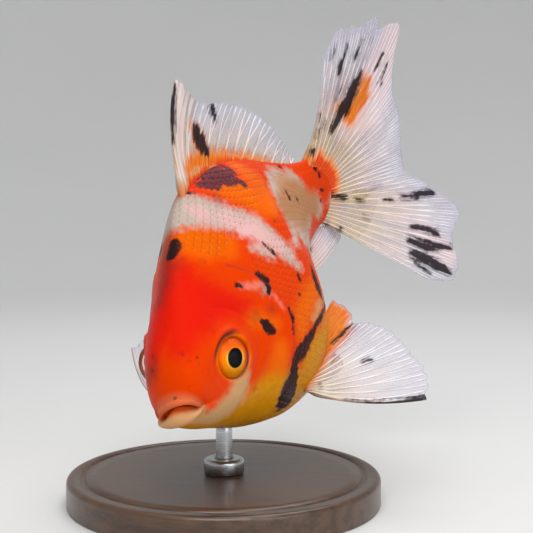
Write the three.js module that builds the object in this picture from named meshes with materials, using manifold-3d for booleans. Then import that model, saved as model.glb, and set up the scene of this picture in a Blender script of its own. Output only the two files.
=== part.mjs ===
// A fancy goldfish of life size in a nose-down swimming pose, held over a flat base by one short rod.
//
// The fish is drawn in a frame of its own: x towards the nose, y towards the fish's left, z towards
// the back fin, with the tip of the snout at the origin. Its lengths are shares of the standard
// length, which runs from the snout to the root of the tail fin. The finished fish is scaled to
// millimetres, turned into its pose and set over the stand. The stand is drawn in millimetres with
// its underside at z = 0 and the axis of its base at x = y = 0.
import * as THREE from 'three';
import { mergeVertices } from 'three/addons/utils/BufferGeometryUtils.js';
import Module from 'manifold-3d';

const solidLibrary = await Module();
solidLibrary.setup();

// ---------------------------------------------------------------- driving dimensions

const STANDARD_LENGTH = 95; // mm
const SNOUT = new THREE.Vector3(0, -38, 30); // mm, over the base
const NOSE_DOWN = 27; // degrees
const LEFT_SIDE_UP = 8; // degrees
const GAP = 0.3 / STANDARD_LENGTH; // between neighbouring pieces

// Sections along the body: place, back, belly, half breadth and roundness of the back.
const BODY_SECTIONS = [
  [0.00, -0.002, -0.019, 0.010, 2.00],
  [0.04, 0.065, -0.088, 0.052, 2.10],
  [0.09, 0.112, -0.128, 0.086, 2.30],
  [0.15, 0.156, -0.173, 0.110, 1.95],
  [0.22, 0.212, -0.229, 0.138, 1.46],
  [0.30, 0.276, -0.288, 0.178, 1.23],
  [0.40, 0.332, -0.334, 0.211, 1.18],
  [0.50, 0.334, -0.338, 0.219, 1.20],
  [0.60, 0.311, -0.281, 0.195, 1.42],
  [0.70, 0.268, -0.185, 0.131, 1.52],
  [0.80, 0.206, -0.096, 0.072, 1.70],
  [0.90, 0.150, -0.062, 0.040, 1.90],
  [1.00, 0.128, -0.064, 0.022, 2.00],
];
const BELLY_ROUNDNESS = 2.15;
const RIDGE_SOFTNESS = 0.45; // keeps the back and the flanks from ending in a sharp ridge
const WIDEST_HEIGHT = [[0, 0.42], [0.15, 0.35], [0.5, 0.34], [1, 0.46]]; // share of the depth
const TAIL_BEND = 24.5; // degrees to the fish's left at the root of the tail fin
const BEND_START = 0.20;
const STEM_START = 0.82;

const EYE_CENTRE = new THREE.Vector3(-0.187, 0.082, 0.002); // left eye
const EYE_RADIUS = 0.055;
const ORBIT_CENTRE = new THREE.Vector2(-0.172, 0.010); // x and z on the side of the head
const ORBIT_SWELL = 0.010;
const ORBIT_SPREAD = 0.055;

// The mouth is a little open and askew: its right corner hangs lower than the left one.
const MOUTH_RIGHT_CORNER = new THREE.Vector3(-0.045, -0.048, -0.055);
const MOUTH_LEFT_CORNER = new THREE.Vector3(-0.047, 0.056, -0.030);
const UPPER_LIP_MIDDLE = new THREE.Vector3(-0.010, 0.010, 0.008);
const LOWER_LIP_MIDDLE = new THREE.Vector3(-0.022, 0.002, -0.042);
const UPPER_LIP_RADIUS = 0.0105;
const LOWER_LIP_RADIUS = 0.0150;

const GILL_COVER_FOOT = -64; // degrees round the section, from the fish's left
const GILL_COVER_STEPS = 9; // steps of the section's own division, up from the foot
const GILL_COVER_WIDTH = 0.122;
const GILL_COVER_DEPTH = 0.026;
const GILL_COVER_LIFT = 0.004;

const FIN_EDGE_THICKNESS = 0.0062; // about 0.6 mm

const BASE_RADIUS = 38; // mm
const BASE_HEIGHT = 7;
const BASE_CHAMFER = 1.2;
const ROD_RADIUS = 2;
const COLLAR_RADIUS = 5;
const COLLAR_HEIGHT = 3.5;
const SEAT_GAP = 0.3;

// ---------------------------------------------------------------- curves

/** A smooth curve y(x) through points [x, y], with the slopes of the parabola through each three. */
function curveThrough(points) {
  const steps = points.slice(1).map(([x, y], i) => [x - points[i][0], (y - points[i][1]) / (x - points[i][0])]);
  const slopes = points.map((_, i) => {
    if (i === 0 || i === points.length - 1) return 0;
    const [[h0, d0], [h1, d1]] = [steps[i - 1], steps[i]];
    return (h1 * d0 + h0 * d1) / (h0 + h1);
  });
  const last = points.length - 1;
  slopes[0] = 2 * steps[0][1] - slopes[1];
  slopes[last] = 2 * steps[last - 1][1] - slopes[last - 1];
  return (x) => {
    const t = THREE.MathUtils.clamp(x, points[0][0], points[last][0]);
    let i = 0;
    while (i < last - 1 && t >= points[i + 1][0]) i += 1;
    const h = steps[i][0];
    const u = (t - points[i][0]) / h;
    const rise = (3 - 2 * u) * u * u;
    return (1 - rise) * points[i][1] + rise * points[i + 1][1]
      + u * (1 - u) * ((1 - u) * h * slopes[i] - u * h * slopes[i + 1]);
  };
}

const radians = THREE.MathUtils.degToRad;

/** Section curves run on the root of the place along the body, which rounds the snout. */
const sectionCurve = (column) => curveThrough(BODY_SECTIONS.map((row) => [Math.sqrt(row[0]), row[column]]));
const back = sectionCurve(1);
const belly = sectionCurve(2);
const halfBreadth = sectionCurve(3);
const backRoundness = sectionCurve(4);
const widestHeight = curveThrough(WIDEST_HEIGHT.map(([place, share]) => [Math.sqrt(place), share]));

/** Heading of the body's axis at a place along it: straight, then bending smoothly to the left. */
function heading(place) {
  const t = THREE.MathUtils.clamp((place - BEND_START) / (1 - BEND_START), 0, 1);
  return radians(TAIL_BEND) * t * t * (3 - 2 * t);
}

/** The axis of the body, as points summed along the heading. */
const AXIS_STEPS = 200;
const axisPoints = [new THREE.Vector2(0, 0)];
for (let i = 1; i <= AXIS_STEPS; i += 1) {
  const middle = heading((i - 0.5) / AXIS_STEPS);
  const step = new THREE.Vector2(-Math.cos(middle), Math.sin(middle)).divideScalar(AXIS_STEPS);
  axisPoints.push(axisPoints[i - 1].clone().add(step));
}

/** The point at a place along the bent axis, `aside` to the fish's left of it and `up` above it. */
function onAxis(place, aside, up) {
  const whole = THREE.MathUtils.clamp(place, 0, 1) * AXIS_STEPS;
  const i = Math.min(Math.floor(whole), AXIS_STEPS - 1);
  const point = axisPoints[i].clone().lerp(axisPoints[i + 1], whole - i);
  const angle = heading(place);
  const beyond = Math.max(place - 1, 0);
  return new THREE.Vector3(
    point.x - beyond * Math.cos(angle) + aside * Math.sin(angle),
    point.y + beyond * Math.sin(angle) + aside * Math.cos(angle),
    up,
  );
}

const signedPower = (value, power) => Math.sign(value) * Math.abs(value) ** power;

/** A share to a power, eased towards a straight line near nought where the power is above 1. */
function softPower(value, power) {
  if (power <= 1) return signedPower(value, power);
  const eased = (value * value + RIDGE_SOFTNESS ** 2) / (1 + RIDGE_SOFTNESS ** 2);
  return value * eased ** ((power - 1) / 2);
}

/**
 * A point of the body's surface. `round` is the angle round the section in degrees: 0 is the fish's
 * left, 90 the back and -90 the belly. Each section is a superellipse with its own roundness above
 * and below its widest line; the orbits swell it at the eyes. `swell` moves the point outwards.
 */
function onBody(place, round, swell = 0) {
  const root = Math.sqrt(Math.max(place, 0));
  const [top, foot, half] = [back(root), belly(root), halfBreadth(root)];
  const middle = foot + (top - foot) * widestHeight(root);
  const [c, n] = [Math.cos(radians(round)), Math.sin(radians(round))];
  const power = 2 / (n >= 0 ? backRoundness(root) : BELLY_ROUNDNESS);
  const aside = half * softPower(c, power);
  const up = (n >= 0 ? top - middle : middle - foot) * softPower(n, power);
  const point = onAxis(place, aside, middle + up);
  const fromEye = Math.hypot(point.x - ORBIT_CENTRE.x, point.z - ORBIT_CENTRE.y) / ORBIT_SPREAD;
  point.y += signedPower(c, 0.5) * ORBIT_SWELL * Math.exp(-fromEye * fromEye);
  const outward = point.clone().sub(onAxis(place, 0, middle)).normalize();
  return point.addScaledVector(outward, swell);
}

/** Place along the body where the head and its gill covers end, behind each angle of the section. */
function headEnd(round) {
  const fromSide = round <= 90 ? round : 180 - round;
  return 0.262 + 0.130 * Math.exp(-(((fromSide - 28) / 28) ** 2));
}

// ---------------------------------------------------------------- solids

/** Joins the corners that triangles share, so that the surface is closed. */
function sewn(geometry) {
  const bare = geometry.clone();
  bare.deleteAttribute('normal');
  bare.deleteAttribute('uv');
  return mergeVertices(bare, 1e-6);
}

function toSolid(geometry) {
  const closed = sewn(geometry);
  return new solidLibrary.Manifold(new solidLibrary.Mesh({
    numProp: 3,
    vertProperties: Float32Array.from(closed.attributes.position.array),
    triVerts: Uint32Array.from(closed.index.array),
  }));
}

function toGeometry(solid) {
  const mesh = solid.getMesh();
  const geometry = new THREE.BufferGeometry();
  geometry.setAttribute('position', new THREE.BufferAttribute(Float32Array.from(mesh.vertProperties), 3));
  geometry.setIndex(new THREE.BufferAttribute(Uint32Array.from(mesh.triVerts), 1));
  return geometry;
}

/** The largest connected piece of a solid, without the crumbs that a cut leaves. */
function largestPiece(solid) {
  return solid.decompose().sort((a, b) => b.volume() - a.volume())[0];
}

/** A closed surface over a grid of rings, with a fan to a point at each end. */
function ringSolid(rings, front, rear) {
  const around = rings[0].length;
  const points = [front, ...rings.flat(), rear];
  const last = points.length - 1;
  const lastRing = 1 + (rings.length - 1) * around;
  const index = [];
  for (let j = 0; j < around; j += 1) {
    const k = (j + 1) % around;
    index.push(0, 1 + j, 1 + k, last, lastRing + k, lastRing + j);
    for (let i = 0; i < rings.length - 1; i += 1) {
      const here = 1 + i * around;
      const next = here + around;
      index.push(here + j, next + j, here + k, here + k, next + j, next + k);
    }
  }
  const geometry = new THREE.BufferGeometry().setFromPoints(points);
  geometry.setIndex(index);
  return toSolid(geometry);
}

/** A closed slab over a grid of points with an outer and an inner side. */
function slabSolid(steps, across, outerPoint, innerPoint) {
  const side = (pointAt) => {
    const points = [];
    for (let i = 0; i <= steps; i += 1) {
      for (let j = 0; j <= across; j += 1) points.push(pointAt(i / steps, j / across));
    }
    return points;
  };
  const points = [...side(outerPoint), ...side(innerPoint)];
  const inner = points.length / 2;
  const at = (i, j) => i * (across + 1) + j;
  const index = [];
  for (let i = 0; i < steps; i += 1) {
    for (let j = 0; j < across; j += 1) {
      const [a, b, c, d] = [at(i, j), at(i + 1, j), at(i + 1, j + 1), at(i, j + 1)];
      index.push(a, b, c, a, c, d, inner + a, inner + c, inner + b, inner + a, inner + d, inner + c);
    }
  }
  const wall = (a, b) => index.push(a, inner + a, inner + b, a, inner + b, b);
  for (let i = 0; i < steps; i += 1) {
    wall(at(i, 0), at(i + 1, 0));
    wall(at(i + 1, across), at(i, across));
  }
  for (let j = 0; j < across; j += 1) {
    wall(at(0, j + 1), at(0, j));
    wall(at(steps, j), at(steps, j + 1));
  }
  const geometry = new THREE.BufferGeometry().setFromPoints(points);
  geometry.setIndex(index);
  const solid = toSolid(geometry);
  return solid.volume() < 0 ? toSolid(flipped(geometry)) : solid;
}

function flipped(geometry) {
  const turned = geometry.clone();
  const { array } = turned.index;
  for (let i = 0; i < array.length; i += 3) [array[i + 1], array[i + 2]] = [array[i + 2], array[i + 1]];
  return turned;
}

/** A prism over an outline in the fish's side plane, reaching right through the body. */
function sideCutter(outline) {
  const reach = 0.4;
  const shape = new THREE.Shape(outline.map(([x, z]) => new THREE.Vector2(x, z)));
  const geometry = new THREE.ExtrudeGeometry(shape, { depth: 2 * reach, bevelEnabled: false });
  geometry.rotateX(Math.PI / 2);
  geometry.translate(0, reach, 0);
  return toSolid(geometry);
}

/** A round tube along a smooth curve through points, whose radius swells from its ends to its middle. */
function taperedTube(points, radius, steps, sides) {
  const curve = new THREE.CatmullRomCurve3(points);
  const frames = curve.computeFrenetFrames(steps, false);
  const rings = frames.tangents.map((_, i) => {
    const share = i / steps;
    const size = radius * (0.45 + 0.55 * Math.sin(Math.PI * share));
    return Array.from({ length: sides }, (__, j) => {
      const angle = (-2 * Math.PI * j) / sides;
      return curve.getPointAt(share)
        .addScaledVector(frames.normals[i], size * Math.cos(angle))
        .addScaledVector(frames.binormals[i], size * Math.sin(angle));
    });
  });
  return ringSolid(rings, curve.getPointAt(0), curve.getPointAt(1));
}

// ---------------------------------------------------------------- the body

const AROUND = 28;
const ROUND_STEP = 360 / AROUND;

const roundOf = (j) => ROUND_STEP * j - 90;
const ringAt = (placeAt, swell) => Array.from({ length: AROUND }, (_, j) => (
  onBody(placeAt(roundOf(j)), roundOf(j), swell)
));
const centreOf = (ring) => ring.reduce((sum, p) => sum.add(p), new THREE.Vector3()).divideScalar(ring.length);

/**
 * The stretch of body between two places, each a function of the angle round the section. `ease`
 * crowds the rings towards the front. A `shoulder` at the front or the rear lets that end run
 * straight in to the depth of the gill covers before it closes.
 */
function bodySolid(from, to, steps, { swell = 0, ease = 1, shoulder = 'none' } = {}) {
  const rings = [];
  for (let i = 0; i <= steps; i += 1) {
    const share = (i / steps) ** ease;
    rings.push(ringAt((round) => from(round) + (to(round) - from(round)) * share, swell));
  }
  const shoulderDepth = GILL_COVER_DEPTH + 2 * GAP;
  if (shoulder === 'front') rings.unshift(ringAt(from, -shoulderDepth));
  if (shoulder === 'rear') rings.push(ringAt(to, -shoulderDepth));
  return ringSolid(rings, centreOf(rings[0]), centreOf(rings[rings.length - 1]));
}

const everywhere = (place) => () => place;
const NOSE_START = 0.0004;

const wholeHead = bodySolid(
  everywhere(NOSE_START),
  (round) => headEnd(round) - GAP / 2,
  12,
  { ease: 1.7, shoulder: 'rear' },
);
const trunk = bodySolid(
  (round) => headEnd(round) + GAP / 2,
  everywhere(STEM_START - GAP / 2),
  12,
  { shoulder: 'front' },
);
const tailStem = bodySolid(everywhere(STEM_START + GAP / 2), everywhere(1), 4);
const grownBody = bodySolid(everywhere(NOSE_START), everywhere(1 + GAP), 24, { swell: GAP, ease: 1.3 });

// ---------------------------------------------------------------- eyes

const mirrored = (vector, side) => new THREE.Vector3(vector.x, side * vector.y, vector.z);

function eyeSolid(side, radius) {
  const ball = new THREE.SphereGeometry(radius, 16, 10);
  const centre = mirrored(EYE_CENTRE, side);
  ball.translate(centre.x, centre.y, centre.z);
  return toSolid(ball);
}

// ---------------------------------------------------------------- gill covers

/**
 * A plate of the head's side: across it runs round the section from foot to top, along it from its
 * front edge to the end of the head. It narrows to both ends, and stands a little proud at the rear.
 * `grow` widens it all round, for the socket it lies in.
 */
function gillCover(side, grow) {
  const foot = ROUND_STEP * Math.round((GILL_COVER_FOOT + 90) / ROUND_STEP) - 90;
  const at = (u, v, swell) => {
    const fromMiddle = 2 * v - 1;
    const round = foot + ROUND_STEP * GILL_COVER_STEPS * v + (grow / 0.0021) * fromMiddle ** 9;
    const rear = headEnd(round) - 0.8 * GAP;
    const front = rear - GILL_COVER_WIDTH * Math.sqrt(1.06 - fromMiddle * fromMiddle);
    return onBody(front - grow + (rear - front + 2.6 * grow) * u, side > 0 ? round : 180 - round, swell);
  };
  const outer = (u, v) => at(u, v, GILL_COVER_LIFT * u * u + (grow > 0 ? 0.05 : 0));
  const inner = (u, v) => at(u, v, -GILL_COVER_DEPTH - grow);
  return slabSolid(5, GILL_COVER_STEPS, outer, inner);
}

// ---------------------------------------------------------------- mouth

/** A lip follows an arch from the right corner of the mouth over its middle to the left corner. */
function lip(middle, radius) {
  const shoulder = (corner) => corner.clone().lerp(middle, 0.62).add(new THREE.Vector3(0.006, 0.18 * corner.y, 0));
  const arch = [
    MOUTH_RIGHT_CORNER, shoulder(MOUTH_RIGHT_CORNER), middle, shoulder(MOUTH_LEFT_CORNER), MOUTH_LEFT_CORNER,
  ];
  return taperedTube(arch, radius, 12, 8);
}

const upperLipSocket = lip(UPPER_LIP_MIDDLE, UPPER_LIP_RADIUS + GAP);
const upperLip = lip(UPPER_LIP_MIDDLE, UPPER_LIP_RADIUS);
const lowerLip = lip(LOWER_LIP_MIDDLE, LOWER_LIP_RADIUS);
const mouthSlot = sideCutter([[0.03, 0.008], [-0.050, -0.036], [-0.050, -0.044], [0.03, -0.040]]);
const jawOutline = (grow) => [
  [0.03, -0.040 + grow],
  [-0.055, -0.046 + grow],
  [-0.112 - grow, -0.095],
  [-0.112 - grow, -0.200],
  [0.03, -0.200],
];
const jawBlock = wholeHead.intersect(sideCutter(jawOutline(0)));
const lowerJaw = largestPiece(jawBlock.add(lowerLip).subtract(upperLipSocket));

let head = wholeHead
  .subtract(sideCutter(jawOutline(GAP)))
  .subtract(mouthSlot)
  .subtract(lip(LOWER_LIP_MIDDLE, LOWER_LIP_RADIUS + GAP))
  .subtract(upperLipSocket);
for (const side of [1, -1]) {
  head = head.subtract(eyeSolid(side, EYE_RADIUS + GAP)).subtract(gillCover(side, GAP));
}

// ---------------------------------------------------------------- fins

const normalOf = (sheet, u, v) => {
  const step = 1e-3;
  const along = sheet(Math.min(u + step, 1), v).sub(sheet(Math.max(u - step, 0), v));
  const across = sheet(u, Math.min(v + step, 1)).sub(sheet(u, Math.max(v - step, 0)));
  return along.cross(across).normalize();
};

/**
 * A fin is a sheet of rays: u runs out along a ray and v from the first ray to the last. The slab
 * round it thins from the root to the edge.
 */
function finSolid(sheet, rootThickness, alongSteps, acrossSteps) {
  const half = (u) => (FIN_EDGE_THICKNESS + (rootThickness - FIN_EDGE_THICKNESS) * (1 - u) ** 3) / 2;
  const face = (sign) => (u, v) => sheet(u, v).addScaledVector(normalOf(sheet, u, v), sign * half(u));
  const slab = slabSolid(alongSteps, acrossSteps, face(1), face(-1));
  return largestPiece(slab.subtract(grownBody));
}

/** Rays from `root(v)` to `tip(v)`, bowed at mid-length by the vector `bow(v)`, with a soft wave. */
function raySheet({ root, tip, bow, wave }) {
  return (u, v) => root(v).lerp(tip(v), u)
    .addScaledVector(bow(v), 4 * u * (1 - u))
    .addScaledVector(wave(v), u * u);
}

const vector = (x, y, z) => new THREE.Vector3(x, y, z);

// Dorsal fin: a long first ray that bows forward, a step down to the soft rays, then a falling edge.
const DORSAL_ROOT = [0.392, 0.885];
const dorsalTipPlace = curveThrough([
  [0, 0.530], [0.04, 0.558], [0.08, 0.574], [0.14, 0.600], [0.3, 0.700], [0.45, 0.770], [0.6, 0.820],
  [0.8, 0.866], [1, 0.915],
]);
const dorsalTipHeight = curveThrough([
  [0, 0.570], [0.04, 0.556], [0.08, 0.515], [0.14, 0.482], [0.3, 0.430], [0.45, 0.382], [0.6, 0.325],
  [0.8, 0.235], [1, 0.155],
]);
const dorsalSheet = raySheet({
  root: (v) => {
    const place = DORSAL_ROOT[0] + (DORSAL_ROOT[1] - DORSAL_ROOT[0]) * v;
    return onAxis(place, 0, back(Math.sqrt(place)) - 0.018);
  },
  tip: (v) => onAxis(dorsalTipPlace(v), 0, dorsalTipHeight(v)),
  bow: (v) => vector(0.030 * (1 - v) ** 3, 0, 0.030 * (1 - v) ** 3),
  wave: (v) => vector(0, 0.012 * Math.sin(11 * v) * v, 0),
});

// Tail fin: two halves side by side, each a fan of rays from the upper lobe down to the lower one.
// The halves meet along the top ray and spread apart below.
const tailBack = vector(-Math.cos(radians(TAIL_BEND)), Math.sin(radians(TAIL_BEND)), 0);
const tailLeft = vector(Math.sin(radians(TAIL_BEND)), Math.cos(radians(TAIL_BEND)), 0);
const TAIL_TOP_RAY = 57.4; // degrees above the tail's axis
const TAIL_LEFT_FOOT_RAY = -58.4;
const TAIL_RIGHT_FOOT_RAY = -41;
const TAIL_FORK = 0.56; // share of the fan where the two lobes part

/** Direction of the ray at an angle above the tail's axis, leaning out more the lower it is. */
function tailDirection(angle, side, lean) {
  const free = lean - 0.42 * Math.sin(radians(angle));
  const outward = 0.02 + (free + Math.hypot(free, 0.1)) / 2;
  return tailBack.clone().multiplyScalar(Math.cos(radians(angle)))
    .addScaledVector(vector(0, 0, 1), Math.sin(radians(angle)))
    .addScaledVector(tailLeft, side * outward)
    .normalize();
}

/**
 * One half of the tail fin, down to its foot ray. `reach` gives each ray's length, and `drop` lowers
 * the top rays.
 */
function tailSheet({ side, lean, drop, foot, reach }) {
  const angleOf = (v) => TAIL_TOP_RAY + (foot - TAIL_TOP_RAY) * v - drop * (1 - v);
  const root = (v) => onAxis(0.925 + 0.055 * Math.sin(Math.PI * v), side * (0.016 + 0.008 * v), 0.118 - 0.172 * v);
  return raySheet({
    root,
    tip: (v) => root(v).addScaledVector(tailDirection(angleOf(v), side, lean), reach(v)),
    bow: (v) => tailDirection(angleOf(v) + 90 * Math.sign(0.5 - v), side, lean)
      .multiplyScalar(reach(v) * (v > 0.5 ? 0 : -0.06 * (1 - 2 * v))),
    wave: (v) => tailLeft.clone().multiplyScalar(side * 0.010 * Math.sin(17 * v)),
  });
}

const leftTailReach = curveThrough([
  [0, 0.300], [0.02, 0.360], [0.07, 0.410], [0.133, 0.434], [0.18, 0.464], [0.228, 0.507],
  [0.262, 0.430], [0.305, 0.367], [0.378, 0.320], [0.452, 0.280], [0.56, 0.262], [0.60, 0.268],
  [0.668, 0.337], [0.761, 0.426], [0.803, 0.405], [0.851, 0.403], [0.927, 0.440], [0.975, 0.420],
  [1, 0.360],
]);
const rightTailReach = curveThrough([
  [0, 0.31], [0.07, 0.40], [0.14, 0.46], [0.185, 0.53], [0.25, 0.45], [0.34, 0.38], [0.46, 0.31],
  [0.57, 0.27], [0.72, 0.42], [0.84, 0.44], [0.95, 0.41], [1, 0.35],
]);
const tailHalves = [
  ['left', tailSheet({ side: 1, lean: 0.30, drop: 0, foot: TAIL_LEFT_FOOT_RAY, reach: leftTailReach })],
  ['right', tailSheet({ side: -1, lean: 0, drop: 10, foot: TAIL_RIGHT_FOOT_RAY, reach: rightTailReach })],
];
const FORK_GAP = 0.004;

/** The part of a sheet between two rays. */
const strip = (sheet, from, to) => (u, v) => sheet(u, from + (to - from) * v);

// Paired fins are fans about a short root on the flank: `ahead` is the first ray's direction, `behind`
// the direction a right angle on, and `reach` the length of the ray at each angle.
function fanSheet({ centre, rootHalf, ahead, behind, angles, reach, bow, wave }) {
  const first = ahead.clone().normalize();
  const second = behind.clone().addScaledVector(first, -behind.dot(first)).normalize();
  const direction = (v) => {
    const angle = radians(angles[0] + (angles[1] - angles[0]) * v);
    return first.clone().multiplyScalar(Math.cos(angle)).addScaledVector(second, Math.sin(angle));
  };
  const lift = first.clone().cross(second);
  return raySheet({
    root: (v) => centre.clone().addScaledVector(rootHalf, 1 - 2 * v),
    tip: (v) => centre.clone().addScaledVector(direction(v), reach(v)),
    bow: (v) => second.clone().multiplyScalar(-bow * (1 - v)).addScaledVector(lift, 0.012),
    wave: (v) => lift.clone().multiplyScalar(wave * Math.sin(13 * v)),
  });
}

const pectoralReach = curveThrough([
  [0, 0.322], [0.2, 0.320], [0.42, 0.300], [0.6, 0.292], [0.72, 0.280], [0.82, 0.268], [0.86, 0.290],
  [0.93, 0.312], [1, 0.320],
]);
const pectoralSheets = [
  ['left', fanSheet({
    centre: vector(-0.375, 0.163, -0.235),
    rootHalf: vector(0.006, 0.010, -0.008),
    ahead: vector(0.1, 1, -0.2),
    behind: vector(-1, 0, 0.2),
    angles: [5, 92],
    reach: pectoralReach,
    bow: 0.036,
    wave: 0.006,
  })],
  ['right', fanSheet({
    centre: vector(-0.375, -0.163, -0.235),
    rootHalf: vector(0.006, -0.010, -0.008),
    ahead: vector(-0.3, -1, -0.1),
    behind: vector(-1, 0, 0.2),
    angles: [29, 100],
    reach: (v) => 1.03 * pectoralReach(v),
    bow: 0.055,
    wave: 0.006,
  })],
];

const pelvicReach = curveThrough([[0, 0.225], [0.35, 0.220], [0.7, 0.190], [1, 0.130]]);
const pelvicSheet = (side) => fanSheet({
  centre: onAxis(0.50, side * 0.070, -0.318),
  rootHalf: vector(0.022, side * 0.010, -0.004),
  ahead: vector(-0.80, side * 0.30 + 0.1, -0.30),
  behind: vector(-0.7, -side * 0.35, 0.7),
  angles: [0, 44],
  reach: pelvicReach,
  bow: 0.014,
  wave: 0.004,
});

const analReach = curveThrough([[0, 0.225], [0.3, 0.215], [0.65, 0.180], [1, 0.120]]);
const analSheet = (side) => fanSheet({
  centre: onAxis(0.765, side * 0.014, -0.106),
  rootHalf: vector(0.042, 0, -0.030),
  ahead: vector(-0.93, side * 0.14 + 0.22, -0.15),
  behind: vector(-0.5, 0.1, 0.86),
  angles: [0, 30],
  reach: analReach,
  bow: 0.010,
  wave: 0.003,
});

// ---------------------------------------------------------------- finishes

const finish = (color, roughness, metalness = 0, opacity = 1) => new THREE.MeshStandardMaterial({
  color, roughness, metalness, opacity, transparent: opacity < 1,
});
const redSkin = () => finish(0xd8300a, 0.28);
const orangeSkin = () => finish(0xe2560f, 0.28);
const paleSkin = () => finish(0xe8b9a0, 0.3);
const lipSkin = () => finish(0xe59a82, 0.3);
const finWeb = () => finish(0xdcd8e4, 0.25, 0, 0.6);
const eyeGloss = () => finish(0x1a1208, 0.08);
const standWood = () => finish(0x4a2f1f, 0.45);
const standSteel = () => finish(0xb8babd, 0.3, 1);

// ---------------------------------------------------------------- scene graph

const fish = new THREE.Group();
fish.name = 'goldfish';
fish.position.copy(SNOUT);
fish.rotation.set(radians(LEFT_SIDE_UP), radians(NOSE_DOWN), radians(-90), 'ZYX');
fish.scale.setScalar(STANDARD_LENGTH);
fish.updateMatrixWorld(true);

function addPiece(group, name, geometry, material) {
  const mesh = new THREE.Mesh(geometry, material);
  mesh.name = name;
  group.add(mesh);
}

const addFlesh = (name, solid, material) => addPiece(fish, name, toGeometry(solid), material);

addFlesh('head', largestPiece(head), redSkin());
addFlesh('upper_lip', upperLip, lipSkin());
addFlesh('lower_jaw', lowerJaw, lipSkin());
addFlesh('trunk', trunk, orangeSkin());
addFlesh('tail_stem', tailStem, paleSkin());
for (const [name, side] of [['left', 1], ['right', -1]]) {
  addFlesh(`gill_cover_${name}`, gillCover(side, 0), orangeSkin());
  addFlesh(`eye_${name}`, eyeSolid(side, EYE_RADIUS), eyeGloss());
  addFlesh(`pelvic_fin_${name}`, finSolid(pelvicSheet(side), 0.020, 5, 5), finWeb());
  addFlesh(`anal_fin_${name}`, finSolid(analSheet(side), 0.018, 5, 5), finWeb());
}
addFlesh('dorsal_fin', finSolid(dorsalSheet, 0.024, 6, 20), finWeb());
for (const [name, sheet] of pectoralSheets) {
  addFlesh(`pectoral_fin_${name}`, finSolid(sheet, 0.024, 6, 8), finWeb());
}
for (const [name, sheet] of tailHalves) {
  addFlesh(`tail_fin_${name}_upper`, finSolid(strip(sheet, 0, TAIL_FORK - FORK_GAP), 0.022, 7, 12), finWeb());
  addFlesh(`tail_fin_${name}_lower`, finSolid(strip(sheet, TAIL_FORK + FORK_GAP, 1), 0.022, 7, 9), finWeb());
}

const stand = new THREE.Group();
stand.name = 'stand';

const baseProfile = [
  [0, 0],
  [BASE_RADIUS - BASE_CHAMFER / 2, 0],
  [BASE_RADIUS, BASE_CHAMFER / 2],
  [BASE_RADIUS, BASE_HEIGHT - BASE_CHAMFER],
  [BASE_RADIUS - BASE_CHAMFER, BASE_HEIGHT],
  [0, BASE_HEIGHT],
].map(([r, z]) => new THREE.Vector2(r, z));
const base = new THREE.LatheGeometry(baseProfile, 36);
base.rotateX(Math.PI / 2);
addPiece(stand, 'stand_base', sewn(base), standWood());

const collarInner = ROD_RADIUS + SEAT_GAP;
const collarFoot = BASE_HEIGHT + SEAT_GAP;
const collarProfile = [
  [collarInner, collarFoot],
  [COLLAR_RADIUS, collarFoot],
  [COLLAR_RADIUS, collarFoot + COLLAR_HEIGHT * 0.7],
  [COLLAR_RADIUS - 1, collarFoot + COLLAR_HEIGHT],
  [collarInner, collarFoot + COLLAR_HEIGHT],
  [collarInner, collarFoot],
].map(([r, z]) => new THREE.Vector2(r, z));
const collar = new THREE.LatheGeometry(collarProfile, 18);
collar.rotateX(Math.PI / 2);
addPiece(stand, 'stand_collar', sewn(collar), standSteel());

/** The rod stands on the base and ends against the belly. */
const rodTop = SNOUT.z + 0.3 * STANDARD_LENGTH;
const rod = new THREE.CylinderGeometry(ROD_RADIUS, ROD_RADIUS, rodTop - collarFoot, 16);
rod.rotateX(Math.PI / 2);
rod.translate(0, 0, (rodTop + collarFoot) / 2);
const rodPieces = toSolid(rod).subtract(grownBody.transform(fish.matrixWorld.elements)).decompose();
const lowestRod = rodPieces.sort((a, b) => a.boundingBox().min[2] - b.boundingBox().min[2])[0];
addPiece(stand, 'stand_rod', toGeometry(lowestRod), standSteel());

const group = new THREE.Group();
group.add(fish, stand);
group.updateMatrixWorld(true);

export default group;
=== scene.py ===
"""A life-size fancy goldfish of red, white and black, swimming nose down over a plain display stand.

The fish is drawn in a frame of its own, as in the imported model: x towards the nose, y towards the
fish's left, z towards the back fin, with the tip of the snout at the origin, in shares of the
standard length. A place along the body is its distance behind the snout, and a round is the angle
about a section in degrees: 0 is the fish's left, 90 the back and -90 the belly.
"""

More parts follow.
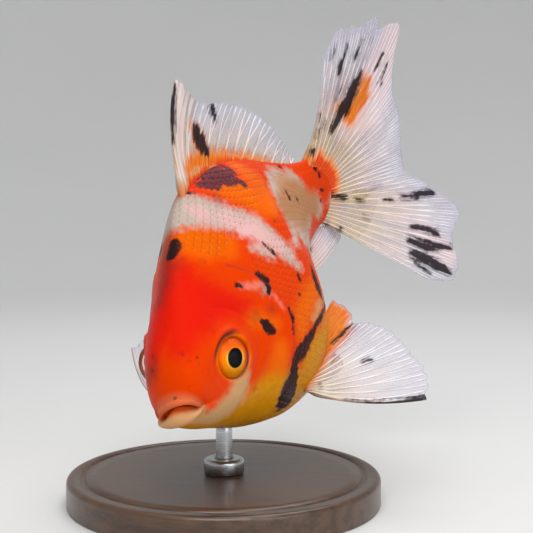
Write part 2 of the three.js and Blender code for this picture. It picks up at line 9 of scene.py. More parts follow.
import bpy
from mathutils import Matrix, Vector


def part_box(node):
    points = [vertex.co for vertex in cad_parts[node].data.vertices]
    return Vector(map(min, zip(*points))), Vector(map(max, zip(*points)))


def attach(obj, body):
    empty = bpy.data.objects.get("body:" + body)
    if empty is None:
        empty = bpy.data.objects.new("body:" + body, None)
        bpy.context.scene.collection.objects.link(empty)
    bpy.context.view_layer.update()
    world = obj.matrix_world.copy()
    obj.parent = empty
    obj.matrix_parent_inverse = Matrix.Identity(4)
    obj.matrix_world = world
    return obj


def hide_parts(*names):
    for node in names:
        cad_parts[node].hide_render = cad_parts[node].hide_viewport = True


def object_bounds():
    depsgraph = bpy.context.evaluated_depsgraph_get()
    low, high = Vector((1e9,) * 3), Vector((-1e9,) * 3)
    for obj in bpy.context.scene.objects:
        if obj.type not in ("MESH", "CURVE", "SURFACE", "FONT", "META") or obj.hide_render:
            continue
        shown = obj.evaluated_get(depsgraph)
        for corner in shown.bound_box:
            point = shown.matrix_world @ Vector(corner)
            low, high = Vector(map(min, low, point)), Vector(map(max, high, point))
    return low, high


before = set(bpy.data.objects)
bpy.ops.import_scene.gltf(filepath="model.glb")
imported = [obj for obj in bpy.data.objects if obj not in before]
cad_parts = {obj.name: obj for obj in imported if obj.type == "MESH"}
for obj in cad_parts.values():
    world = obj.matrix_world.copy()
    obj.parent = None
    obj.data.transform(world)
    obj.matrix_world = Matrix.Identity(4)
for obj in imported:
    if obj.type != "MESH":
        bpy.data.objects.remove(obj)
CAD_BOX = [list(corner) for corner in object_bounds()]

import bpy
import numpy as np
from bpy.props import FloatProperty, FloatVectorProperty, IntProperty, PointerProperty
from mathutils import Matrix

bl_info = {
    "name": "Fancy Goldfish",
    "version": (1, 0, 0),
    "blender": (4, 5, 0),
    "location": "3D View > Sidebar > Goldfish",
    "description": "A life-size fancy goldfish on a display stand",
    "category": "Add Mesh",
}

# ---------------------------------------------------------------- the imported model's own sizes

MM = 0.001
STANDARD_LENGTH = 0.095
SNOUT = np.array([0.0, -0.038, 0.030])
UP = np.array([0.0, 0.0, 1.0])
NOSE_DOWN = 27
LEFT_SIDE_UP = 8

# Sections along the body: place, back, belly, half breadth and roundness of the back.
BODY_SECTIONS = np.array([
    [0.00, -0.002, -0.019, 0.010, 2.00],
    [0.04, 0.065, -0.088, 0.052, 2.10],
    [0.09, 0.112, -0.128, 0.086, 2.30],
    [0.15, 0.156, -0.173, 0.110, 1.95],
    [0.22, 0.212, -0.229, 0.138, 1.46],
    [0.30, 0.276, -0.288, 0.178, 1.23],
    [0.40, 0.332, -0.334, 0.211, 1.18],
    [0.50, 0.334, -0.338, 0.219, 1.20],
    [0.60, 0.311, -0.281, 0.195, 1.42],
    [0.70, 0.268, -0.185, 0.131, 1.52],
    [0.80, 0.206, -0.096, 0.072, 1.70],
    [0.90, 0.150, -0.062, 0.040, 1.90],
    [1.00, 0.128, -0.064, 0.022, 2.00],
])
BELLY_ROUNDNESS = 2.15
RIDGE_SOFTNESS = 0.45
WIDEST_HEIGHT = np.array([[0, 0.42], [0.15, 0.35], [0.5, 0.34], [1, 0.46]])
TAIL_BEND = 24.5
BEND_START = 0.20

EYE_CENTRE = np.array([-0.187, 0.082, 0.002])
EYE_AIM = np.array([0.38, 0.91, 0.17])
EYE_RADIUS = 0.055
ORBIT_CENTRE = (-0.172, 0.010)
ORBIT_SWELL = 0.010
ORBIT_SPREAD = 0.055

MOUTH_RIGHT_CORNER = np.array([-0.045, -0.048, -0.055])
MOUTH_LEFT_CORNER = np.array([-0.047, 0.050, -0.030])
UPPER_LIP_MIDDLE = np.array([-0.010, 0.010, 0.008])
LOWER_LIP_MIDDLE = np.array([-0.021, 0.000, -0.038])
UPPER_LIP_RADIUS = 0.0090
LOWER_LIP_RADIUS = 0.0240
LIP_CORNER_RADIUS = 0.0050

GILL_COVER_FOOT = -64
GILL_COVER_TOP = 52
GILL_COVER_LIFT = 0.004

# ---------------------------------------------------------------- curves and frames


def curve_through(points):
    """A smooth curve y(x) through points (x, y): cubics whose slope at each point is that of the
    parabola through it and its two neighbours."""
    x, y = np.asarray(points, float).T
    h = np.diff(x)
    d = np.diff(y) / h
    m = np.empty_like(y)
    m[1:-1] = (h[1:] * d[:-1] + h[:-1] * d[1:]) / (h[1:] + h[:-1])
    m[0] = 2 * d[0] - m[1]
    m[-1] = 2 * d[-1] - m[-2]

    def at(value):
        t = np.clip(value, x[0], x[-1])
        i = np.clip(np.searchsorted(x, t, side="right") - 1, 0, len(x) - 2)
        u = (t - x[i]) / h[i]
        rise = (3 - 2 * u) * u * u
        slopes = u * (1 - u) * ((1 - u) * h[i] * m[i] - u * h[i] * m[i + 1])
        return (1 - rise) * y[i] + rise * y[i + 1] + slopes

    return at


def smoothstep(low, high, x):
    """0 up to low and 1 from high on, with the curve 3t^2 - 2t^3 between them."""
    t = np.clip((x - low) / (high - low), 0, 1)
    return t * t * (3 - 2 * t)


def bell(x, middle, spread):
    """A bell of height 1 at the middle: exp(-((x - middle) / spread)^2)."""
    return np.exp(-(((x - middle) / spread) ** 2))


def signed_power(x, power):
    """The size of x to a power, with the sign of x."""
    return np.sign(x) * np.abs(x) ** power


def soft_power(x, power):
    """signed_power, eased towards a straight line near nought where the power is above 1."""
    eased = (x * x + RIDGE_SOFTNESS ** 2) / (1 + RIDGE_SOFTNESS ** 2)
    return np.where(power <= 1, signed_power(x, power), x * eased ** ((power - 1) / 2))


def unit(v):
    """Vectors along the last axis, divided by their lengths."""
    return v / np.maximum(np.linalg.norm(v, axis=-1, keepdims=True), 1e-12)


def blend(a, b, share):
    """The point at a share of the way from a to b."""
    return a + (b - a) * share


def to_world(points):
    """Fish frame to metres: turned about x, then y, then z, scaled, and moved to the snout."""
    turned = Matrix.Rotation(np.radians(-90), 3, "Z") @ Matrix.Rotation(np.radians(NOSE_DOWN), 3, "Y")
    turned = np.array(turned @ Matrix.Rotation(np.radians(LEFT_SIDE_UP), 3, "X"))
    return SNOUT + STANDARD_LENGTH * points @ turned.T


# ---------------------------------------------------------------- the body's surface

SECTION_ROOTS = np.sqrt(BODY_SECTIONS[:, 0])
back, belly, half_breadth, back_roundness = (
    curve_through(np.stack([SECTION_ROOTS, BODY_SECTIONS[:, k]], -1)) for k in (1, 2, 3, 4)
)
widest_height = curve_through(np.stack([np.sqrt(WIDEST_HEIGHT[:, 0]), WIDEST_HEIGHT[:, 1]], -1))

AXIS_PLACES = np.linspace(0, 1, 201)


def heading(place):
    """Angle of the body's axis: 0 at the head, easing to the tail's bend at the end."""
    return np.radians(TAIL_BEND) * smoothstep(BEND_START, 1, place)


def walk_axis():
    """The axis's points: sums of its short steps, each along the heading at its middle."""
    steps = np.diff(AXIS_PLACES)
    middles = heading(AXIS_PLACES[:-1] + steps / 2)
    x, y = -np.cos(middles) * steps, np.sin(middles) * steps
    return np.concatenate([[0], np.cumsum(x)]), np.concatenate([[0], np.cumsum(y)])


AXIS_X, AXIS_Y = walk_axis()


def on_axis(place, aside, up):
    """The point at a place along the bent axis, aside to the fish's left of it and up above it."""
    place, aside, up = np.broadcast_arrays(*(np.asarray(a, float) for a in (place, aside, up)))
    angle = heading(place)
    beyond = np.maximum(place - 1, 0)
    x = np.interp(place, AXIS_PLACES, AXIS_X) - beyond * np.cos(angle) + aside * np.sin(angle)
    y = np.interp(place, AXIS_PLACES, AXIS_Y) + beyond * np.sin(angle) + aside * np.cos(angle)
    return np.stack([x, y, up], -1)


def on_body(place, around):
    """A point of the body: a superellipse with its own roundness above and below its widest line,
    half breadth times cos^(2/e) aside and height times sin^(2/e) up, swollen at the orbits."""
    place, around = np.broadcast_arrays(np.asarray(place, float), np.asarray(around, float))
    root = np.sqrt(np.clip(place, 0, 1))
    top, foot = back(root), belly(root)
    middle = foot + (top - foot) * widest_height(root)
    c, n = np.cos(np.radians(around)), np.sin(np.radians(around))
    power = 2 / np.where(n >= 0, back_roundness(root), BELLY_ROUNDNESS)
    up = np.where(n >= 0, top - middle, middle - foot) * soft_power(n, power)
    points = on_axis(place, half_breadth(root) * soft_power(c, power), middle + up)
    away = np.hypot(points[..., 0] - ORBIT_CENTRE[0], points[..., 2] - ORBIT_CENTRE[1]) / ORBIT_SPREAD
    points[..., 1] += signed_power(c, 0.5) * ORBIT_SWELL * np.exp(-away * away)
    return points


def body_normal(place, around):
    """Outward unit normal: the cross product of the steps along the body and round it."""
    along = on_body(place + 0.002, around) - on_body(place - 0.002, around)
    across = on_body(place, around + 1.2) - on_body(place, around - 1.2)
    return unit(np.cross(along, across))


def from_side(around):
    """The same round mirrored to the left side."""
    return np.where(around <= 90, around, 180 - around)


def head_end(around):
    """Place where the head and its gill covers end: a bulge towards the tail on each side."""
    return 0.262 + 0.130 * bell(from_side(around), 28, 28)


# The round of the lateral line, and the grid on which each half section's length is measured.
LATERAL_LINE = 12
GIRTH_PLACES = np.linspace(0.02, 1.0, 197)
GIRTH_SHARES = np.linspace(0, 1, 181)


def measure_girth():
    """Per place: rounds at even shares of the half girth, the half girth, and the lateral line's."""
    around = np.linspace(-90, 90, 721)
    points = on_body(GIRTH_PLACES[:, None], around[None, :])
    arcs = np.linalg.norm(np.diff(points, axis=1), axis=-1).cumsum(axis=1)
    arcs = np.concatenate([np.zeros((len(arcs), 1)), arcs], axis=1)
    rounds = np.stack([np.interp(GIRTH_SHARES * arc[-1], arc, around) for arc in arcs])
    lateral = np.array([np.interp(LATERAL_LINE, around, arc) for arc in arcs])
    return rounds, arcs[:, -1], lateral


GIRTH_ROUNDS, HALF_GIRTHS, LATERAL_ARCS = measure_girth()


def round_at(place, share):
    """The round at a share of the half girth, read from the measured table by bilinear blending.
    Shares from 0 to 1 climb the left side, and from 1 to 2 go down the right one."""
    place, share = np.broadcast_arrays(np.asarray(place, float), np.asarray(share, float))
    share = np.mod(share, 2)
    left = np.where(share <= 1, share, 2 - share)
    i = (place - GIRTH_PLACES[0]) / (GIRTH_PLACES[1] - GIRTH_PLACES[0])
    i = np.clip(i, 0, len(GIRTH_PLACES) - 1.001)
    j = np.clip(left * (len(GIRTH_SHARES) - 1), 0, len(GIRTH_SHARES) - 1.001)
    i0, j0 = i.astype(int), j.astype(int)
    fi, fj = i - i0, j - j0
    low = blend(GIRTH_ROUNDS[i0, j0], GIRTH_ROUNDS[i0, j0 + 1], fj)
    high = blend(GIRTH_ROUNDS[i0 + 1, j0], GIRTH_ROUNDS[i0 + 1, j0 + 1], fj)
    around = blend(low, high, fi)
    return np.where(share <= 1, around, 180 - around)


# ---------------------------------------------------------------- markings

# A stroke is a chain of (place, round, radius). The left side's strokes and the right side's are
# different, as on any fish of this kind.
BODY_STROKES = {
    "black": [
        [(0.264, 93, 0.016), (0.28, 90, 0.018)], [(0.479, 85, 0.005), (0.492, 80, 0.004)],
        [(0.411, 84, 0.005), (0.424, 79, 0.003)], [(0.478, 44, 0.003), (0.488, 38, 0.005)],
        [(0.309, 45, 0.006), (0.322, 42, 0.004)],
        [(0.384, 39.5, 0.008), (0.391, 36, 0.014), (0.385, 33.5, 0.008), (0.369, 32.7, 0.005)],
        [(0.516, 26.5, 0.005), (0.508, 25, 0.006)], [(0.469, 22.3, 0.005)],
        [(0.6, 16.5, 0.006), (0.578, 14, 0.013), (0.57, 10, 0.015), (0.566, 6, 0.01), (0.565, 3, 0.005)],
        [(0.398, 22.5, 0.005), (0.39, 19.5, 0.009), (0.379, 17, 0.007), (0.363, 12.7, 0.005)],
        [(0.301, 27, 0.007), (0.303, 24.3, 0.016), (0.31, 21.3, 0.013)],
        [(0.6, -7, 0.004), (0.544, 0.5, 0.007), (0.493, 4.6, 0.009), (0.45, 5.2, 0.009),
         (0.416, 3.5, 0.013), (0.383, 1.2, 0.021), (0.356, -0.6, 0.023), (0.335, -3, 0.015),
         (0.32, -8, 0.011)], [(0.312, -12, 0.01), (0.286, -26, 0.011), (0.282, -38, 0.01)],
        [(0.318, -10, 0.011), (0.302, -26, 0.012), (0.3, -44, 0.01)],
        [(0.326, -10, 0.01), (0.32, -26, 0.012), (0.322, -46, 0.009)],
        [(0.752, 40, 0.006), (0.75, 35, 0.009)], [(0.794, 26.5, 0.008)], [(0.573, 43.5, 0.005)],
        [(0.949, 47, 0.008)], [(0.956, 33, 0.008)], [(0.922, -3.7, 0.007)],
        [(0.938, 10, 0.004), (0.948, 6, 0.005)], [(0.816, 69.5, 0.006)],
        # the right side
        [(0.33, 118, 0.014), (0.345, 124, 0.01)], [(0.52, 112, 0.012), (0.545, 118, 0.006)],
        [(0.455, 140, 0.01), (0.47, 147, 0.013), (0.462, 153, 0.006)],
        [(0.57, 150, 0.006), (0.59, 158, 0.009)], [(0.4, 158, 0.009), (0.388, 164, 0.006)],
        [(0.47, 172, 0.006), (0.44, 178, 0.009), (0.4, 184, 0.011), (0.365, 194, 0.009)],
        [(0.56, 182, 0.006), (0.548, 188, 0.008)], [(0.65, 160, 0.007)], [(0.7, 140, 0.006)],
        [(0.78, 150, 0.006)], [(0.86, 130, 0.006)], [(0.93, 145, 0.006)],
        [(0.33, 150, 0.005), (0.318, 157, 0.007)],
    ],
    "net": [
        [(0.49, 91, 0.02), (0.532, 82, 0.034), (0.545, 75, 0.034), (0.562, 68, 0.018), (0.58, 63, 0.008)],
        [(0.458, 80, 0.01), (0.5, 73, 0.022)], [(0.586, 82, 0.008), (0.586, 73, 0.012)],
        [(0.326, -5, 0.012), (0.311, -14, 0.022), (0.301, -24, 0.031), (0.302, -34, 0.031),
         (0.308, -44, 0.022)],
        # the right side
        [(0.62, 110, 0.01), (0.6, 118, 0.022), (0.585, 128, 0.01)],
        [(0.37, 208, 0.01), (0.35, 216, 0.02), (0.345, 226, 0.01)],
    ],
    "white": [
        [(0.43, 140, 0.018), (0.39, 126, 0.03), (0.36, 110, 0.04), (0.352, 92, 0.046), (0.378, 76, 0.042),
         (0.412, 65, 0.036), (0.45, 57, 0.034), (0.488, 50, 0.036), (0.512, 42, 0.03), (0.528, 34, 0.02),
         (0.535, 27, 0.008)], [(0.44, 46, 0.012), (0.478, 40, 0.018)], [(0.371, 34.4, 0.01)],
        [(0.722, 54, 0.022), (0.7, 46, 0.034), (0.68, 38, 0.04), (0.64, 32, 0.026), (0.6, 30, 0.01)],
        [(0.72, 30, 0.046), (0.69, 20, 0.04)],
        [(0.765, 50, 0.044), (0.785, 35, 0.062), (0.775, 18, 0.066), (0.75, 2, 0.06), (0.73, -16, 0.05)],
        [(0.815, 38, 0.05), (0.83, 18, 0.042), (0.815, 0, 0.036)],
        [(0.85, 12, 0.036), (0.89, 0, 0.028), (0.9, -14, 0.024)], [(0.975, -20, 0.016), (1.0, -40, 0.02)],
        # the right side
        [(0.735, 104, 0.022), (0.765, 128, 0.04), (0.78, 152, 0.05), (0.76, 176, 0.05),
         (0.74, 196, 0.04)],
    ],
    "tan": [
        [(0.64, 38, 0.06), (0.76, 30, 0.11), (0.86, 10, 0.09)],
        # the right side
        [(0.7, 150, 0.08), (0.86, 160, 0.09)],
    ],
    "rose": [
        [(0.43, 58, 0.018), (0.47, 50, 0.034), (0.505, 40, 0.034)],
        [(0.372, 78, 0.01), (0.385, 70, 0.014)],
    ],
    "golden": [
        [(0.285, 84, 0.03), (0.33, 66, 0.048), (0.37, 54, 0.03)], [(0.29, 30, 0.02), (0.33, 22, 0.012)],
        [(0.48, 76, 0.02), (0.56, 58, 0.04), (0.6, 48, 0.036), (0.64, 60, 0.036), (0.62, 78, 0.024)],
        [(0.54, 14, 0.03), (0.47, 16, 0.036), (0.425, 15, 0.03), (0.39, 8, 0.02)],
        [(0.24, -8, 0.03), (0.268, -4, 0.04), (0.3, 10, 0.024)],
        # the right side
        [(0.33, 112, 0.04), (0.42, 150, 0.05), (0.56, 130, 0.05)], [(0.28, 176, 0.03)],
    ],
    "red": [
        [(0.1, 78, 0.034), (0.16, 70, 0.062), (0.205, 58, 0.06), (0.262, 42, 0.036), (0.3, 37, 0.014)],
        [(0.12, 104, 0.05), (0.18, 96, 0.068), (0.2, 84, 0.06)], [(0.18, 122, 0.05), (0.11, 122, 0.05)],
        [(0.44, 90, 0.026), (0.51, 88, 0.046), (0.57, 84, 0.04)],
    ],
    "yellow": [
        [(0.105, -70, 0.03), (0.18, -55, 0.09), (0.24, -35, 0.085), (0.29, -60, 0.16), (0.42, -80, 0.2),
         (0.56, -75, 0.18), (0.66, -75, 0.1)], [(0.18, 235, 0.09), (0.24, 215, 0.085), (0.29, 240, 0.16)],
        [(0.59, -16, 0.03), (0.52, -10, 0.042), (0.44, -8, 0.046), (0.4, -16, 0.056), (0.37, -34, 0.08)],
    ],
    "peach": [
        [(0.18, 4, 0.012), (0.158, 1, 0.03), (0.141, -9, 0.033), (0.106, -22, 0.034),
         (0.073, -32, 0.032)], [(0.58, 1, 0.006), (0.513, 8, 0.009), (0.462, 8.5, 0.005)],
        # the right side
        [(0.2, 176, 0.008), (0.15, 184, 0.022), (0.115, 200, 0.018)],
    ],
    "pink": [
        [(0.318, 43, 0.007), (0.34, 39.5, 0.009), (0.366, 36.5, 0.009)],
        [(0.378, 31.5, 0.004), (0.379, 28, 0.004), (0.379, 24, 0.002)],
    ],
    # Dark blotches of the fish's own on the left side, by the gill covers and the hump; the strokes on the
    # right side of the nape and of the snout are painted shade where the head turns away from the camera.
    "brown": [
        [(0.2, 108, 0.03), (0.243, 99, 0.028), (0.3, 106, 0.036)], [(0.459, 67, 0.011)],
        [(0.37, 34.6, 0.012)], [(0.345, 28, 0.008)], [(0.299, 31, 0.006)],
        # the right side
        [(0.063, 138, 0.022), (0.06, 121, 0.014)],
    ],
}
STROKE_UNIT = 0.01


def stroke_field(points, chains):
    """How deep each point lies in the strokes: the largest of radius less distance over all of a
    chain's tapered capsules, in units of a hundredth of the standard length. Chains hold points
    of the fish frame with their radii, as arrays of rows (x, y, z, radius)."""
    field = np.full(points.shape[:-1], -9.0)
    for chain in chains:
        for start, end in zip(chain[: max(len(chain) - 1, 1)], chain[min(len(chain) - 1, 1):]):
            step = end[:3] - start[:3]
            reach = max(float(step @ step), 1e-12)
            share = np.clip(((points - start[:3]) @ step) / reach, 0, 1)
            nearest = start[:3] + share[..., None] * step
            depth = blend(start[3], end[3], share) - np.linalg.norm(points - nearest, axis=-1)
            np.maximum(field, depth / STROKE_UNIT, out=field)
    return field


def body_chains(strokes):
    """Strokes of (place, round, radius) as chains of points on the body."""
    return [
        np.array([[*on_body(place, around), radius] for place, around, radius in stroke])
        for stroke in strokes
    ]


def body_marks(points):
    """The markings' fields at points of the body, the same for the skin and for the scales."""
    return {name: stroke_field(points, body_chains(strokes)) for name, strokes in BODY_STROKES.items()}


# ---------------------------------------------------------------- meshes


def grid_quads(rows, columns, closed):
    """Quads of a grid of points that run row by row. A closed grid joins its last column to its
    first. The step along the rows crossed with the step along the columns points outwards."""
    i = np.arange(rows - 1)[:, None] * columns
    j = np.arange(columns if closed else columns - 1)[None, :]
    k = (j + 1) % columns
    return np.stack([i + j, i + columns + j, i + columns + k, i + k], -1).reshape(-1, 4)


def grid_corners(row_values, column_values):
    """UV corners of the same quads, for values given at every row and at every column's two sides."""
    i, j = np.meshgrid(np.arange(len(row_values) - 1), np.arange(len(column_values) - 1), indexing="ij")
    u = np.stack([column_values[j], column_values[j], column_values[j + 1], column_values[j + 1]], -1)
    v = np.stack([row_values[i], row_values[i + 1], row_values[i + 1], row_values[i]], -1)
    return np.stack([u, v], -1).reshape(-1, 4, 2)


def fan(pole, ring, pole_value, ring_value):
    """Triangles from a pole to each step of a ring of points, and their UV corners."""
    turn = np.linspace(0, 1, len(ring) + 1)
    faces = np.stack([np.full(len(ring), pole), ring, np.roll(ring, -1)], -1)
    spots = ((turn[:-1], pole_value), (turn[:-1], ring_value), (turn[1:], ring_value))
    return faces, np.stack([np.stack([u, np.full(len(ring), v)], -1) for u, v in spots], 1)


def closed_shell(points, poles, fields, margin, inwards):
    """A grid whose columns join up, closed by a pole before its first row and one after its last.
    The poles take the mean of the fields round the row beside them, and the margin is the share of
    the UV map's height that each fan takes. Inwards says that the grid's own faces look inwards, so
    that all are turned round. Returns points, faces, corners and fields."""
    rows, columns = points.shape[:2]
    faces = [grid_quads(rows, columns, True)]
    corners = [grid_corners(np.linspace(margin, 1 - margin, rows), np.linspace(0, 1, columns + 1))]
    ring = np.arange(columns)
    front, front_uv = fan(rows * columns, ring, 0.0, margin)
    rear, rear_uv = fan(rows * columns + 1, (rows - 1) * columns + ring, 1.0, 1 - margin)
    faces += [front, rear[:, ::-1]]
    corners += [front_uv, rear_uv[:, ::-1]]
    if inwards:
        faces = [part[:, ::-1] for part in faces]
        corners = [part[:, ::-1] for part in corners]
    fields = {
        key: np.concatenate([value.ravel(), [value[0].mean(), value[-1].mean()]])
        for key, value in fields.items()
    }
    return np.vstack([points.reshape(-1, 3), poles]), faces, corners, fields


def add_object(name, points, faces, material):
    """A smooth mesh object of points in metres, with its faces as a list of arrays."""
    mesh = bpy.data.meshes.new(name)
    mesh.from_pydata(points.reshape(-1, 3).tolist(), [], [f for part in faces for f in part.tolist()])
    mesh.polygons.foreach_set("use_smooth", np.ones(len(mesh.polygons), bool))
    mesh.materials.append(material)
    made = bpy.data.objects.new(name, mesh)
    bpy.context.scene.collection.objects.link(made)
    return made


def add_piece(name, points, faces, corners, fields, material, slot, replaced=()):
    """A piece with a UV map and fields, riding on the root and standing for CAD nodes. Faces and
    their UV corners come as lists of arrays, one for each number of corners."""
    piece = add_object(name, points, faces, material)
    mesh = piece.data
    layer = mesh.uv_layers.new(name="OFBake")
    layer.data.foreach_set("uv", np.concatenate([c.ravel() for c in corners]).astype(np.float32))
    for field, values in fields.items():
        attribute = mesh.attributes.new(field, "FLOAT", "POINT")
        attribute.data.foreach_set("value", np.asarray(values, np.float32).ravel())
    mesh.update()
    if mesh.validate(verbose=False):
        raise RuntimeError(f"the mesh of {name} had faults")
    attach(piece, "root")
    if replaced:
        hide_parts(*replaced)
    return piece


TURNED_MARGIN = 0.02


def turned_points(profile, sides, centre, aim):
    """A profile of (radius, height) rows turned about a line through a centre, and the directions
    out from that line."""
    profile, aim = np.asarray(profile, float), unit(np.asarray(aim, float))
    first = unit(np.cross(aim, [0.0, 0.0, 1.0] if abs(aim[2]) < 0.9 else [1.0, 0.0, 0.0]))
    second = np.cross(aim, first)
    angles = 2 * np.pi * np.arange(sides) / sides
    circle = np.cos(angles)[:, None] * first + np.sin(angles)[:, None] * second
    return centre + profile[:, None, :1] * circle + profile[:, None, 1:] * aim, circle


def add_turned(name, profile, sides, centre, aim, material, slot, replaced=(), ring=None):
    """A solid of revolution, its profile running up the aim. Ring is a field given per row, and
    comes with the field up, the height of each direction out from the line."""
    points, circle = turned_points(profile, sides, centre, aim)
    rows = len(points)
    fields = {}
    if ring is not None:
        fields["ring"] = np.repeat(ring[:, None], sides, 1)
        fields["up"] = np.repeat(circle[None, :, 2], rows, 0)
    poles = points[[0, -1]].mean(axis=1)
    shell = closed_shell(points, poles, fields, TURNED_MARGIN, True)
    return add_piece(name, *shell, material, slot, replaced)


def add_ring(name, section, sides, material, slot, replaced):
    """A closed section of (radius, height) rows turned about the upright axis."""
    points, _ = turned_points(section, sides, np.zeros(3), UP)
    rows = len(section) + 1
    faces = grid_quads(rows, sides, True)[:, ::-1] % (len(section) * sides)
    corners = grid_corners(np.linspace(0, 1, rows), np.linspace(0, 1, sides + 1))[:, ::-1]
    return add_piece(name, points, [faces], [corners], {}, material, slot, replaced)


# ---------------------------------------------------------------- materials


class Graph:
    """A material's nodes, written as calls that return sockets. An input takes a socket, a number,
    or the name of one of the sidebar's colours. Lengths are in metres."""

    def __init__(self, name, colours):
        self.material = bpy.data.materials.new(name)
        self.material.use_nodes = True
        self.colours = colours
        self.tree = self.material.node_tree
        self.tree.nodes.clear()
        self.output = self.tree.nodes.new("ShaderNodeOutputMaterial")
        self.place = self.tree.nodes.new("ShaderNodeTexCoord").outputs["Object"]

    def colour(self, name):
        """One of the sidebar's colours, with full opacity."""
        return (*getattr(self.colours, name), 1.0)

    def put(self, socket, value):
        """Links a socket to an input, or sets the input to a number or a named colour."""
        if isinstance(value, bpy.types.NodeSocket):
            self.tree.links.new(value, socket)
        else:
            socket.default_value = self.colour(value) if isinstance(value, str) else value

    def node(self, kind, inputs, output, **settings):
        """Adds a node with its settings and inputs, and returns one of its outputs."""
        node = self.tree.nodes.new(f"ShaderNode{kind}")
        for name, value in settings.items():
            setattr(node, name, value)
        for key, value in inputs.items():
            self.put(node.inputs[key], value)
        return node.outputs[output]

    def attribute(self, name):
        """The value of one of the mesh's fields."""
        return self.node("Attribute", {}, "Fac", attribute_name=name)

    def stretched(self, vector, scale):
        """A vector with each of its parts scaled."""
        return self.node("Mapping", {"Vector": vector, "Scale": scale}, "Vector")

    def noise(self, scale, detail=3, vector=None, roughness=0.5):
        """Noise from 0 to 1, with about this many features to the metre."""
        inputs = {"Vector": vector or self.place, "Scale": scale, "Detail": detail, "Roughness": roughness}
        return self.node("TexNoise", inputs, "Fac")

    def grain_on_map(self, detail, across, along):
        """Noise stretched over the piece's own UV map, with this many features each way."""
        own_map = self.node("UVMap", {}, "UV", uv_map="OFBake")
        return self.noise(1.0, detail, self.stretched(own_map, (across, along, 1)))

    def cells(self, scale):
        """Distance to the edges of a cell pattern with this many cells to the metre."""
        inputs = {"Vector": self.place, "Scale": scale}
        return self.node("TexVoronoi", inputs, "Distance", feature="DISTANCE_TO_EDGE")

    def math(self, operation, a, b=0.0, clamp=False):
        """One arithmetic step."""
        return self.node("Math", {0: a, 1: b}, 0, operation=operation, use_clamp=clamp)

    def times(self, a, b):
        """The product of two values."""
        return self.math("MULTIPLY", a, b)

    def swayed(self, value, noise, amount):
        """A value plus a noise centred on nothing, times an amount."""
        return self.math("ADD", value, self.times(self.math("SUBTRACT", noise, 0.5), amount))

    def step(self, value, low, high, out_low=0.0, out_high=1.0):
        """A smooth rise between two values."""
        inputs = {"Value": value, "From Min": low, "From Max": high, "To Min": out_low, "To Max": out_high}
        return self.node("MapRange", inputs, "Result", interpolation_type="SMOOTHSTEP")

    def mark(self, field, sways, low, high, most=1.0):
        """A marking's cover from nothing to the most: its field, swayed by each noise times its
        amount, rising between two depths in the stroke."""
        value = self.attribute(field)
        for noise, amount in sways:
            value = self.swayed(value, noise, amount)
        return self.step(value, low, high, 0.0, most)

    def mix(self, share, a, b):
        """A share of colour b over colour a."""
        return self.node("Mix", {0: share, 6: a, 7: b}, 2, data_type="RGBA")

    def layered(self, base, *layers):
        """A colour with others laid over it in turn, each by its share."""
        for share, tint in layers:
            base = self.mix(share, base, tint)
        return base

    def ramp(self, value, *stops):
        """Named colours at positions along a value."""
        node = self.tree.nodes.new("ShaderNodeValToRGB")
        self.put(node.inputs["Fac"], value)
        elements = node.color_ramp.elements
        elements[0].position, elements[1].position = stops[0][0], stops[-1][0]
        for position, _ in stops[1:-1]:
            elements.new(position)
        for element, (_, tint) in zip(elements, stops):
            element.color = self.colour(tint)
        return node.outputs["Color"]

    def bump(self, height, strength, distance=0.0002):
        """A normal bent by a height."""
        return self.node("Bump", {"Height": height, "Strength": strength, "Distance": distance}, "Normal")

    def principled(self, **sockets):
        """The finished surface, with its sockets set or linked by name."""
        inputs = {name.replace("_", " "): value for name, value in sockets.items()}
        return self.finished(self.node("BsdfPrincipled", inputs, "BSDF"))

    def finished(self, surface):
        """The material, with this surface for its output."""
        self.tree.links.new(surface, self.output.inputs["Surface"])
        return self.material


